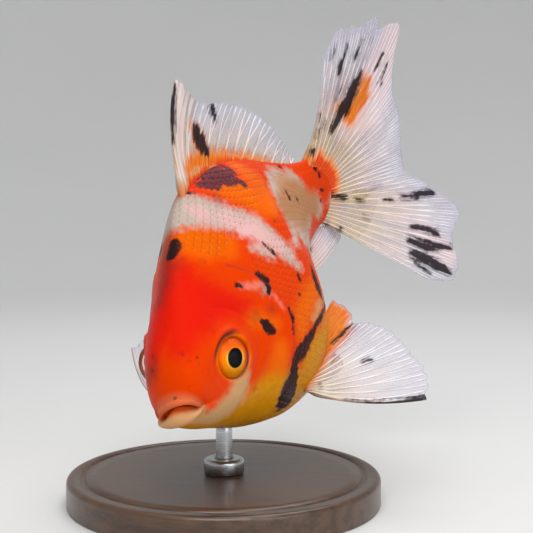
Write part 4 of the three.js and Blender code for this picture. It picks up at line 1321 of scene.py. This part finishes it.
def ray_ridges(sheet, u, v, rays, per_ray, forks, ray_width, lead_band):
    """How much each point of a fin belongs to a ray, and to the band of bundled rays along its
    leading edge, which takes in the very last edge too. Rays are bells about their middle lines,
    which part in two at one fork and in two again at the next."""
    phase = np.abs(np.mod(v * rays, 1) - 0.5)
    first = 0.25 * smoothstep(forks[0], forks[0] + 0.55, u)
    second = 0.125 * smoothstep(forks[1], forks[1] + 0.45, u)
    branch = np.abs(np.abs(phase - first) - second)
    spacing = np.linalg.norm(np.gradient(sheet(u, v), axis=1), axis=-1) * per_ray
    half_width = ray_width * (1 - 0.4 * u) / np.maximum(spacing, 1e-4)
    ray = bell(branch, 0, np.clip(half_width, 0.035, 0.30)) * (1 - 0.5 * smoothstep(0.93, 1.0, u))
    lead = np.zeros_like(ray)
    if lead_band:
        lead += np.maximum(1 - smoothstep(0.6 * lead_band, lead_band, v), v == 1)
    bundled = bell(np.mod(v * rays * 2.6, 1), 0.5, 0.22)
    return np.maximum(ray, 0.8 * lead * bundled), lead


def frayed(u, v, rays, fray):
    """Shares along the rays, drawn in near the margin by notches between the rays and by a sway."""
    teeth = 0.5 - 0.5 * np.cos(2 * np.pi * (v * rays - 0.5))
    sway = 0.5 + 0.5 * np.sin(v * rays * 2.3 + 1.3) * np.sin(v * rays * 0.9 + 0.4)
    return u * (1 - fray * smoothstep(0.75, 1.0, u) * (0.55 * (1 - teeth) + 0.45 * sway))


def fin_corners(rows, columns):
    """UV corners of a fin's shell: both faces side by side, and a strip for each end."""
    across = [np.linspace(0.01, 0.49, columns + 1), np.linspace(0.51, 0.99, columns + 1), [1.0]]
    corners = [grid_corners(np.linspace(0.02, 0.98, rows + 1), np.concatenate(across))]
    step = 0.48 / columns
    x = 0.01 + step * np.arange(columns)
    for top, foot in ((0.02, 0.01), (0.99, 0.98)):
        spots = ((x, top), (x + step, top), (x + step, foot), (x, foot))
        corners.append(np.stack([np.stack([u, np.full(columns, v)], -1) for u, v in spots], 1))
    return corners


def fin_chains(sheet, strokes):
    """Strokes of (share along, share across, radius) as chains of points on a fin's sheet."""
    return [
        np.array([[*sheet(np.array(u), np.array(v)), FIN_MARK_SPREAD * radius] for u, v, radius in stroke])
        for stroke in strokes
    ]


def make_fin(name, sheet, marks, material, replaced, *, rays, rows, per_ray, forks, root_half, flesh,
             fray=0.03, lead_band=0.0, ray_width=0.0018):
    """A fin as a closed thin shell about its sheet, thickest at the fleshy root, with the rays as
    ridges and a notched margin. Marks are strokes of (u, v, radius) for each field."""
    columns = rays * per_ray
    u, v = np.meshgrid(np.linspace(0, 1, rows + 1), np.linspace(0, 1, columns + 1), indexing="ij")
    ray, lead = ray_ridges(sheet, u, v, rays, per_ray, forks, ray_width, lead_band)
    middle = sheet(frayed(u, v, rays, fray), v)
    normal = unit(np.cross(np.gradient(middle, axis=0), np.gradient(middle, axis=1)))
    rim = np.minimum(smoothstep(0, 0.012, v), smoothstep(1, 0.988, v)) * smoothstep(1.0, 0.97, u)
    swell = root_half * u / ROOT_SWELL * np.exp(1 - u / ROOT_SWELL)
    half = (swell + HALF_THICKNESS + RAY_HEIGHT * ray * (1 - 0.4 * u)) * (0.35 + 0.65 * rim)

    def both_faces(front, rear):
        return np.concatenate([front, rear[:, ::-1]], 1)

    offset = half[..., None] * normal
    points = both_faces(middle + offset, middle - offset)
    bare = both_faces(middle, middle)
    solid = np.maximum(1 - smoothstep(flesh * 0.4, flesh, u), lead)
    fields = {key: both_faces(value, value) for key, value in (("ray", ray), ("solid", solid), ("along", u))}
    for field in ("black", "orange", "rose"):
        fields[field] = stroke_field(bare, fin_chains(sheet, marks.get(field, [])))
    total = 2 * (columns + 1)
    j = np.arange(columns)
    cap = np.stack([j, j + 1, total - 2 - j, total - 1 - j], -1)
    faces = [grid_quads(rows + 1, total, True), cap, rows * total + cap[:, ::-1]]
    corners = fin_corners(rows, columns)
    return add_piece(name, to_world(points), faces, corners, fields, material, "fin_web", replaced)


# Strokes on the fins: (share along the ray, share across the fin, radius).
FIN_MARKS = {
    "dorsal": {
        "black": [
            [(0.44, 0.008, 0.005), (0.6, 0.01, 0.011), (0.78, 0.01, 0.011), (0.93, 0.01, 0.006)],
            [(0.68, 0.15, 0.008), (0.58, 0.172, 0.016), (0.46, 0.205, 0.019), (0.33, 0.25, 0.014),
             (0.24, 0.25, 0.005)], [(0.98, 0.215, 0.007), (0.85, 0.25, 0.012), (0.71, 0.283, 0.007)],
        ],
        "orange": [
            [(0.2, 0.1, 0.012), (0.26, 0.18, 0.016), (0.2, 0.27, 0.018), (0.13, 0.42, 0.016),
             (0.09, 0.62, 0.012), (0.07, 0.8, 0.008)],
            [(0.05, 0.02, 0.012), (0.07, 0.12, 0.018), (0.08, 0.26, 0.018)],
            [(0.62, 0.155, 0.012), (0.46, 0.195, 0.02), (0.3, 0.235, 0.018)],
        ],
        "rose": [
            [(0.2, 0.03, 0.02), (0.9, 0.04, 0.016)],
        ],
    },
    "left_tail": {
        "black": [
            [(0.72, 0.16, 0.005), (0.57, 0.156, 0.018), (0.45, 0.146, 0.018), (0.31, 0.124, 0.009)],
            [(0.16, 0.01, 0.006), (0.1, 0.02, 0.003)], [(0.32, 0.02, 0.003), (0.24, 0.025, 0.004)],
            [(0.46, 0.012, 0.003), (0.38, 0.016, 0.003)], [(0.36, 0.06, 0.002), (0.3, 0.066, 0.003)],
            [(0.8, 0.212, 0.005), (0.7, 0.215, 0.006)], [(0.86, 0.25, 0.004), (0.78, 0.263, 0.006)],
            [(0.89, 0.037, 0.003), (0.83, 0.02, 0.004)], [(0.86, 0.08, 0.004), (0.7, 0.066, 0.008)],
            [(0.92, 0.13, 0.003), (0.8, 0.118, 0.007)], [(0.6, 0.1, 0.003), (0.5, 0.088, 0.004)],
            [(0.02, 0.655, 0.006), (0.14, 0.69, 0.009)], [(0.24, 0.712, 0.005), (0.29, 0.716, 0.005)],
            [(0.46, 0.718, 0.004), (0.52, 0.716, 0.005)],
            [(0.62, 0.708, 0.005), (0.76, 0.702, 0.01), (0.92, 0.696, 0.009)],
            [(0.67, 0.833, 0.008), (0.86, 0.833, 0.01)],
            [(0.64, 0.885, 0.01), (0.77, 0.89, 0.014), (0.96, 0.87, 0.008)],
            [(0.65, 0.935, 0.009), (0.84, 0.94, 0.014), (0.94, 0.95, 0.009)],
            [(0.7, 0.965, 0.005), (0.85, 0.975, 0.006)], [(0.03, 0.985, 0.005)], [(0.13, 0.98, 0.006)],
        ],
        "orange": [
            [(0.05, 0.04, 0.014), (0.08, 0.12, 0.02), (0.07, 0.3, 0.022), (0.07, 0.45, 0.02),
             (0.04, 0.6, 0.014)], [(0.64, 0.196, 0.012), (0.54, 0.202, 0.022), (0.4, 0.2, 0.02)],
            [(0.46, 0.12, 0.012)],
        ],
        "rose": [
            [(0.3, 0.22, 0.03), (0.6, 0.27, 0.05), (0.92, 0.22, 0.04)],
            [(0.75, 0.84, 0.03), (0.9, 0.9, 0.035)],
        ],
    },
    "right_tail": {
        "black": [
            [(0.72, 0.12, 0.005), (0.6, 0.11, 0.01), (0.48, 0.105, 0.006)],
            [(0.88, 0.2, 0.004), (0.74, 0.21, 0.007)], [(0.55, 0.4, 0.004), (0.66, 0.42, 0.007)],
            [(0.5, 0.78, 0.004), (0.72, 0.8, 0.009), (0.9, 0.79, 0.006)],
            [(0.8, 0.9, 0.008), (0.95, 0.92, 0.006)], [(0.2, 0.64, 0.004), (0.36, 0.66, 0.005)],
        ],
        "orange": [
            [(0.05, 0.04, 0.014), (0.08, 0.12, 0.02), (0.07, 0.3, 0.022), (0.07, 0.45, 0.02),
             (0.05, 0.65, 0.018)], [(0.4, 0.15, 0.008), (0.55, 0.16, 0.012)],
        ],
        "rose": [
            [(0.4, 0.3, 0.03), (0.9, 0.24, 0.04)], [(0.7, 0.86, 0.04)],
        ],
    },
    "left_pectoral": {
        "black": [
            [(0.62, 0.44, 0.005), (0.67, 0.44, 0.005)],
            [(0.62, 0.815, 0.004), (0.8, 0.803, 0.007), (0.96, 0.8, 0.004)],
            [(0.36, 0.02, 0.002), (0.57, 0.006, 0.006), (0.8, 0.0, 0.009), (0.99, 0.0, 0.01)],
            [(0.17, 0.315, 0.004)],
        ],
        "orange": [
            [(0.05, 0.6, 0.016), (0.35, 0.93, 0.032), (0.65, 0.93, 0.044), (0.82, 0.95, 0.036)],
        ],
    },
    "right_pectoral": {
        "black": [
            [(0.6, 0.3, 0.004), (0.74, 0.31, 0.007)],
        ],
        "orange": [
            [(0.05, 0.6, 0.016), (0.35, 0.9, 0.012)],
        ],
    },
    "anal": {
        "black": [
            [(0.32, 0.68, 0.005), (0.38, 0.68, 0.006)],
        ],
        "rose": [
            [(0.2, 0.3, 0.03), (0.6, 0.5, 0.03)],
        ],
    },
    "pelvic": {
        "orange": [
            [(0.05, 0.5, 0.014)],
        ],
        "black": [
            [(0.8, 0.2, 0.005), (0.95, 0.24, 0.008)],
        ],
    },
}


# ---------------------------------------------------------------- eyes

PUPIL_RADIUS = 0.0224
IRIS_DEPTH = 0.0245
PUPIL_DEPTH = 0.034
LENS_HEIGHT = 0.0075
BALL_GAP = 0.0008
CORNEA_REACH = np.radians(66)
EYE_SIDES = 96


def make_eyes(colours):
    """Each eye is a ball cut off by a dished iris with the lens standing in its pupil, under a clear
    cornea that completes the ball, a cap with its rim behind the orbit's edge."""
    iris = iris_material("iris", colours)
    cornea = cornea_material("cornea", colours)
    ball_radius = EYE_RADIUS - BALL_GAP
    back_angles = np.linspace(np.pi, np.arccos(IRIS_DEPTH / ball_radius), 28)[1:]
    ball = ball_radius * np.stack([np.sin(back_angles), np.cos(back_angles)], -1)
    rim_radius, rim_height = ball[-1]
    dish = np.linspace(1, 0, 22)[1:]
    dish_rows = [blend(PUPIL_RADIUS, rim_radius, dish), blend(PUPIL_DEPTH, rim_height, dish ** 1.4)]
    lens = np.linspace(1, 0, 12)[1:-1]
    lens_rows = [PUPIL_RADIUS * lens, PUPIL_DEPTH + LENS_HEIGHT * np.sqrt(1 - lens ** 2)]
    profile = np.concatenate([ball, np.stack(dish_rows, -1), np.stack(lens_rows, -1)])
    ring = np.concatenate([np.ones(len(ball)), dish_rows[0] / rim_radius, lens_rows[0] / rim_radius])
    dome_angles = np.linspace(CORNEA_REACH, 0, 26)[:-1]
    dome = EYE_RADIUS * np.stack([np.sin(dome_angles), np.cos(dome_angles)], -1)
    for name, side in (("left", 1), ("right", -1)):
        mirror = np.array([1, side, 1])
        centre = to_world(EYE_CENTRE * mirror)
        aim = to_world((EYE_CENTRE + unit(EYE_AIM)) * mirror) - centre
        add_turned(f"eye_ball_{name}", STANDARD_LENGTH * profile, EYE_SIDES, centre, aim, iris, "eye_gloss",
                   (f"eye_{name}",), ring)
        add_turned(f"cornea_{name}", STANDARD_LENGTH * dome, EYE_SIDES, centre, aim, cornea, "eye_gloss")


# ---------------------------------------------------------------- stand and studio

DISC_BEVEL = 1.2 * MM
GROOVE_INSET = 4 * MM
COLLAR_BORE_RADIUS = 2.3 * MM
COLLAR_BEVEL = 1 * MM
SMALL_BEVEL = 0.2 * MM
FLOOR_SIDES = 72
WALL_HEIGHT = 0.9


def arc(centre_radius, centre_height, radius, height, start, end, steps):
    """Rows (radius, height) on an ellipse about a centre, from one angle in degrees to another."""
    angle = np.radians(np.linspace(start, end, steps))
    return np.stack([centre_radius + radius * np.cos(angle), centre_height + height * np.sin(angle)], -1)


def make_disc(colours):
    """A turned disc with a rounded foot and edge and a shallow groove."""
    low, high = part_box("stand_base")
    radius, height, bevel = (high[0] - low[0]) / 2, high[2] - low[2], DISC_BEVEL
    profile = np.concatenate([
        [[radius * share, 0] for share in (0.05, 0.5, 0.9)],
        arc(radius - bevel / 2, bevel / 2, bevel / 2, bevel / 2, -90, 0, 9),
        arc(radius - bevel, height - bevel, bevel, bevel, 0, 90, 9),
        arc(radius - GROOVE_INSET, height, 0.6 * MM, -0.5 * MM, 0, 180, 9),
        [[radius * share, height] for share in (0.8, 0.5, 0.25, 0.08)],
    ])
    wood = wood_material("turned wood", colours)
    add_turned("stand_disc", profile, 144, np.zeros(3), UP, wood, "stand_wood", ("stand_base",))


def make_stand(colours):
    """The disc, a steel collar and a steel rod."""
    make_disc(colours)
    steel = steel_material("brushed steel", colours)
    low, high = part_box("stand_collar")
    outer = (high[0] - low[0]) / 2
    section = np.concatenate([
        [[COLLAR_BORE_RADIUS, low[2]], [outer - SMALL_BEVEL, low[2]], [outer, low[2] + SMALL_BEVEL]],
        arc(outer - COLLAR_BEVEL, high[2] - COLLAR_BEVEL, COLLAR_BEVEL, COLLAR_BEVEL, 0, 90, 7),
        [[COLLAR_BORE_RADIUS + SMALL_BEVEL, high[2]], [COLLAR_BORE_RADIUS, high[2] - SMALL_BEVEL]],
    ])
    add_ring("stand_ferrule", section, 96, steel, "stand_steel", ("stand_collar",))
    low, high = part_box("stand_rod")
    rod = (high[0] - low[0]) / 2
    profile = np.array([
        [rod * 0.5, low[2]], [rod * 0.97, low[2]], [rod, low[2] + 0.1 * MM],
        *[[rod, z] for z in np.linspace(low[2] + 0.5 * MM, high[2] - 0.1 * MM, 8)],
        [rod * 0.97, high[2]], [rod * 0.5, high[2]],
    ])
    add_turned("stand_stem", profile, 64, np.zeros(3), UP, steel, "stand_steel", ("stand_rod",))


def make_floor(sizes, colours):
    """A pale floor that curves up all round into a backdrop."""
    flat, curve = sizes.floor_radius, sizes.backdrop_curve
    profile = np.concatenate([
        [[flat * share, 0] for share in (0.02, 0.1, 0.25, 0.5, 0.75)],
        arc(flat, curve, curve, curve, -90, 0, 15),
        [[flat + curve, curve + WALL_HEIGHT]],
    ])
    points, _ = turned_points(profile, FLOOR_SIDES, np.zeros(3), UP)
    middle, _ = fan(points[..., 0].size, np.arange(FLOOR_SIDES), 0.0, 0.0)
    faces = [grid_quads(len(profile), FLOOR_SIDES, True), middle]
    points = np.vstack([points.reshape(-1, 3), np.zeros(3)])
    add_object("floor", points, faces, floor_material("studio floor", colours))


def stand_at(thing, at, behind, right):
    """Puts a camera or a light at a point, with the direction behind it and the one to its right."""
    axes = np.stack([right, np.cross(behind, right), behind], -1)
    placed = Matrix([(*row, 0) for row in axes] + [(0, 0, 0, 1)])
    placed.translation = at
    thing.matrix_world = placed
    bpy.context.scene.collection.objects.link(thing)


def add_light(name, at, size, power):
    """A square soft light aimed at the fish's middle."""
    data = bpy.data.lights.new(name, "AREA")
    data.size = size
    data.energy = power
    behind = unit(np.array(at) - np.mean(CAD_BOX, axis=0))
    stand_at(bpy.data.objects.new(name, data), at, behind, unit(np.cross(UP, behind)))


def add_camera(sizes):
    """The camera, turned by its azimuth and elevation."""
    data = bpy.data.cameras.new("camera")
    data.lens = sizes.lens
    data.sensor_width = 36
    data.clip_start = 0.01
    azimuth, elevation = np.radians(sizes.azimuth), np.radians(sizes.elevation)
    right = np.array([np.cos(azimuth), np.sin(azimuth), 0])
    level = np.array([np.sin(azimuth), -np.cos(azimuth), 0])
    camera = bpy.data.objects.new("camera", data)
    stand_at(camera, sizes.camera_at, np.cos(elevation) * level + np.sin(elevation) * UP, right)
    bpy.context.scene.camera = camera


def make_stage(sizes, colours):
    """The floor, soft lights, the studio's air and the camera."""
    make_floor(sizes, colours)
    add_light("key", (0.10, -0.36, 0.46), 0.36, sizes.key_power)
    add_light("fill", (0.46, -0.30, 0.22), 0.40, sizes.fill_power)
    add_light("top", (0.05, 0.16, 0.55), 0.45, sizes.top_power)
    world = bpy.data.worlds.new("studio air")
    world.use_nodes = True
    background = world.node_tree.nodes["Background"]
    background.inputs["Color"].default_value = (0.92, 0.95, 1.0, 1)
    background.inputs["Strength"].default_value = sizes.air_strength
    scene = bpy.context.scene
    scene.world = world
    scene.view_settings.view_transform = "Standard"
    add_camera(sizes)


# ---------------------------------------------------------------- properties


def shade_property(name, description, default):
    """A colour that the sidebar shows, in linear light."""
    return FloatVectorProperty(
        name=name, description=description, default=default, subtype="COLOR", min=0, max=1,
    )


class GoldfishSizes(bpy.types.PropertyGroup):
    """Sizes of the studio and counts of the rays."""

    dorsal_rays: IntProperty(name="Dorsal rays", description="Rays of the back fin", default=13, min=6)
    tail_rays: IntProperty(
        name="Tail rays", description="Rays of each half of the tail fin", default=26, min=8,
    )
    pectoral_rays: IntProperty(name="Pectoral rays", description="Rays of a pectoral fin", default=13, min=6)
    small_rays: IntProperty(
        name="Small fins' rays", description="Rays of a pelvic or anal fin", default=10, min=4,
    )
    floor_radius: FloatProperty(
        name="Floor", description="Radius of the flat floor", default=0.45, unit="LENGTH",
    )
    backdrop_curve: FloatProperty(
        name="Backdrop", description="Radius of its curve", default=0.4, unit="LENGTH",
    )
    key_power: FloatProperty(
        name="Key light", description="Light from the front, above", default=2.0, unit="POWER",
    )
    fill_power: FloatProperty(
        name="Fill light", description="Light from the right", default=0.9, unit="POWER",
    )
    top_power: FloatProperty(
        name="Top light", description="Light from above, behind", default=1.6, unit="POWER",
    )
    air_strength: FloatProperty(name="Air", description="Strength of the studio's even light", default=0.50)
    lens: FloatProperty(name="Lens", description="Focal length in millimetres", default=85.1)
    azimuth: FloatProperty(name="Azimuth", description="Degrees from straight ahead of the fish", default=16)
    elevation: FloatProperty(name="Elevation", description="Degrees above level", default=5)
    camera_at: FloatVectorProperty(name="Camera", description="Where the camera stands",
                                   default=(0.0928, -0.2863, 0.0837), subtype="TRANSLATION", unit="LENGTH")


class GoldfishColours(bpy.types.PropertyGroup):
    """Colours of the fish, the stand and the studio."""

    red: shade_property("Red", "Crown and hump", (0.66, 0.010, 0.003))
    orange: shade_property("Orange", "Cheeks and flanks", (0.68, 0.041, 0.0005))
    golden: shade_property("Golden", "Nape, hump and gill covers", (0.74, 0.115, 0.001))
    yellow: shade_property("Yellow", "Throat and belly", (0.72, 0.30, 0.001))
    olive: shade_property("Olive", "Shade in the yellow", (0.48, 0.18, 0.001))
    peach: shade_property("Peach", "Cheek patches", (0.55, 0.33, 0.15))
    cream: shade_property("Cream", "White saddle and stem", (0.44, 0.41, 0.34))
    rose: shade_property("Rose", "Blush in the white", (0.70, 0.42, 0.41))
    tan: shade_property("Tan", "Shade in the stem's white", (0.40, 0.19, 0.065))
    pink: shade_property("Pink", "Streaks by the gill covers", (0.74, 0.22, 0.16))
    blush: shade_property("Blush", "Pink parts of the fins", (0.80, 0.62, 0.62))
    lip: shade_property("Lip", "Lips", (0.64, 0.30, 0.13))
    throat: shade_property("Throat", "Inside of the mouth", (0.80, 0.17, 0.02))
    # Dusk also darkens the painted shade in the creases and on the head's far side.
    dusk: shade_property("Dusk", "Purple-black nets and smudges", (0.032, 0.018, 0.032))
    black: shade_property("Black", "Spots and stripes", (0.012, 0.008, 0.011))
    shade: shade_property("Shade", "Creases and roots of scales", (0.25, 0.020, 0.004))
    web: shade_property("Web", "Clear skin of the fins", (0.70, 0.66, 0.74))
    web_root: shade_property("Web root", "Its warm root", (0.72, 0.52, 0.27))
    web_shade: shade_property("Web shade", "Its folds", (0.40, 0.36, 0.43))
    web_tip: shade_property("Web tip", "Its cool tips", (0.56, 0.53, 0.68))
    ray: shade_property("Ray", "Rays of the fins", (0.86, 0.82, 0.80))
    pupil: shade_property("Pupil", "Pupil", (0.004, 0.004, 0.005))
    gold: shade_property("Gold", "Ring about the pupil", (0.90, 0.62, 0.08))
    iris: shade_property("Iris's rim", "Orange of its outer part", (0.86, 0.11, 0.001))
    amber: shade_property("Amber", "Iris", (0.95, 0.23, 0.001))
    wood_dark: shade_property("Dark wood", "Grain of the base", (0.045, 0.022, 0.012))
    wood_light: shade_property("Light wood", "Between the grain", (0.095, 0.050, 0.026))
    steel: shade_property("Steel", "Rod and collar", (0.62, 0.63, 0.65))
    steel_shade: shade_property("Steel shade", "Its darker rings", (0.46, 0.47, 0.49))
    floor: shade_property("Floor", "Studio floor", (0.72, 0.72, 0.71))
    floor_shade: shade_property("Floor shade", "Its darker parts", (0.66, 0.66, 0.65))


# ---------------------------------------------------------------- operators


class GOLDFISH_OT_skin(bpy.types.Operator):
    """Make the skin in one piece"""

    bl_idname = "goldfish.skin"
    bl_label = "Skin"
    bl_options = {"REGISTER", "UNDO"}

    def execute(self, context):
        make_skin(context.scene.goldfish_colours)
        return {"FINISHED"}


class GOLDFISH_OT_scales(bpy.types.Operator):
    """Make the scales over the skin"""

    bl_idname = "goldfish.scales"
    bl_label = "Scales"
    bl_options = {"REGISTER", "UNDO"}

    def execute(self, context):
        make_scales(context.scene.goldfish_colours)
        return {"FINISHED"}


class GOLDFISH_OT_eyes(bpy.types.Operator):
    """Make both eyes with their corneas"""

    bl_idname = "goldfish.eyes"
    bl_label = "Eyes"
    bl_options = {"REGISTER", "UNDO"}

    def execute(self, context):
        make_eyes(context.scene.goldfish_colours)
        return {"FINISHED"}


class GOLDFISH_OT_dorsal_fin(bpy.types.Operator):
    """Make the back fin"""

    bl_idname = "goldfish.dorsal_fin"
    bl_label = "Dorsal fin"
    bl_options = {"REGISTER", "UNDO"}

    def execute(self, context):
        sizes, colours = context.scene.goldfish_sizes, context.scene.goldfish_colours
        make_fin(
            "dorsal_web", dorsal_sheet, FIN_MARKS["dorsal"], fin_material("dorsal web", colours, 0.24),
            ("dorsal_fin",), rays=sizes.dorsal_rays, rows=56, per_ray=20, forks=(0.34, 0.80),
            root_half=0.009, flesh=0.08, lead_band=0.16, ray_width=0.0046,
        )
        return {"FINISHED"}


class GOLDFISH_OT_tail_fins(bpy.types.Operator):
    """Make both halves of the tail fin"""

    bl_idname = "goldfish.tail_fins"
    bl_label = "Tail fins"
    bl_options = {"REGISTER", "UNDO"}

    def execute(self, context):
        sizes, colours = context.scene.goldfish_sizes, context.scene.goldfish_colours
        material = fin_material("tail web", colours, 0.34)
        for name, sheet in tail_sheets().items():
            make_fin(
                f"tail_web_{name}", sheet, FIN_MARKS[f"{name}_tail"], material,
                (f"tail_fin_{name}_upper", f"tail_fin_{name}_lower"), rays=sizes.tail_rays, rows=64,
                per_ray=14, forks=(0.22, 0.55), root_half=0.010, flesh=0.12, fray=0.02,
            )
        return {"FINISHED"}


class GOLDFISH_OT_pectoral_fins(bpy.types.Operator):
    """Make both pectoral fins"""

    bl_idname = "goldfish.pectoral_fins"
    bl_label = "Pectoral fins"
    bl_options = {"REGISTER", "UNDO"}

    def execute(self, context):
        sizes, colours = context.scene.goldfish_sizes, context.scene.goldfish_colours
        material = fin_material("pectoral web", colours, 0.20)
        for name, sheet in pectoral_sheets().items():
            make_fin(
                f"pectoral_web_{name}", sheet, FIN_MARKS[f"{name}_pectoral"], material,
                (f"pectoral_fin_{name}",), rays=sizes.pectoral_rays, rows=52, per_ray=18,
                forks=(0.45, 0.80), root_half=0.009, flesh=0.10, lead_band=0.03, ray_width=0.0026,
            )
        return {"FINISHED"}


class GOLDFISH_OT_small_fins(bpy.types.Operator):
    """Make the pelvic and anal fins"""

    bl_idname = "goldfish.small_fins"
    bl_label = "Pelvic and anal fins"
    bl_options = {"REGISTER", "UNDO"}

    def execute(self, context):
        sizes, colours = context.scene.goldfish_sizes, context.scene.goldfish_colours
        material = fin_material("small web", colours)
        shared = {"rays": sizes.small_rays, "rows": 40, "per_ray": 14, "forks": (0.4, 0.7), "flesh": 0.12}
        for name, side in (("left", 1), ("right", -1)):
            make_fin(
                f"pelvic_web_{name}", pelvic_sheet(side), FIN_MARKS["pelvic"], material,
                (f"pelvic_fin_{name}",), root_half=0.008, lead_band=0.06, **shared,
            )
            make_fin(
                f"anal_web_{name}", anal_sheet(side), FIN_MARKS["anal"], material,
                (f"anal_fin_{name}",), root_half=0.007, lead_band=0.05, fray=0.0, **shared,
            )
        return {"FINISHED"}


class GOLDFISH_OT_stand(bpy.types.Operator):
    """Make the display stand"""

    bl_idname = "goldfish.stand"
    bl_label = "Stand"
    bl_options = {"REGISTER", "UNDO"}

    def execute(self, context):
        make_stand(context.scene.goldfish_colours)
        return {"FINISHED"}


class GOLDFISH_OT_stage(bpy.types.Operator):
    """Make the floor, the lights and the camera"""

    bl_idname = "goldfish.stage"
    bl_label = "Stage"
    bl_options = {"REGISTER", "UNDO"}

    def execute(self, context):
        make_stage(context.scene.goldfish_sizes, context.scene.goldfish_colours)
        return {"FINISHED"}


MAKERS = (
    GOLDFISH_OT_stage,
    GOLDFISH_OT_skin,
    GOLDFISH_OT_scales,
    GOLDFISH_OT_eyes,
    GOLDFISH_OT_dorsal_fin,
    GOLDFISH_OT_tail_fins,
    GOLDFISH_OT_pectoral_fins,
    GOLDFISH_OT_small_fins,
    GOLDFISH_OT_stand,
)


class GOLDFISH_PT_panel(bpy.types.Panel):
    """The sidebar's list of makers"""

    bl_idname = "GOLDFISH_PT_panel"
    bl_label = "Goldfish"
    bl_space_type = "VIEW_3D"
    bl_region_type = "UI"
    bl_category = "Goldfish"

    def draw(self, context):
        for maker in MAKERS:
            self.layout.operator(maker.bl_idname)
        for group in (context.scene.goldfish_sizes, context.scene.goldfish_colours):
            for key in group.bl_rna.properties.keys():
                if key not in {"rna_type", "name"}:
                    self.layout.prop(group, key)


CLASSES = (GoldfishSizes, GoldfishColours, *MAKERS, GOLDFISH_PT_panel)


def register():
    """Registers the classes and hangs their settings on the scene."""
    for cls in CLASSES:
        bpy.utils.register_class(cls)
    bpy.types.Scene.goldfish_sizes = PointerProperty(type=GoldfishSizes)
    bpy.types.Scene.goldfish_colours = PointerProperty(type=GoldfishColours)


def unregister():
    """Undoes register."""
    del bpy.types.Scene.goldfish_colours
    del bpy.types.Scene.goldfish_sizes
    for cls in reversed(CLASSES):
        bpy.utils.unregister_class(cls)


def main():
    """Makes every piece."""
    register()
    for maker in MAKERS:
        getattr(bpy.ops.goldfish, maker.bl_idname.split(".")[1])()


if __name__ == "__main__":
    main()
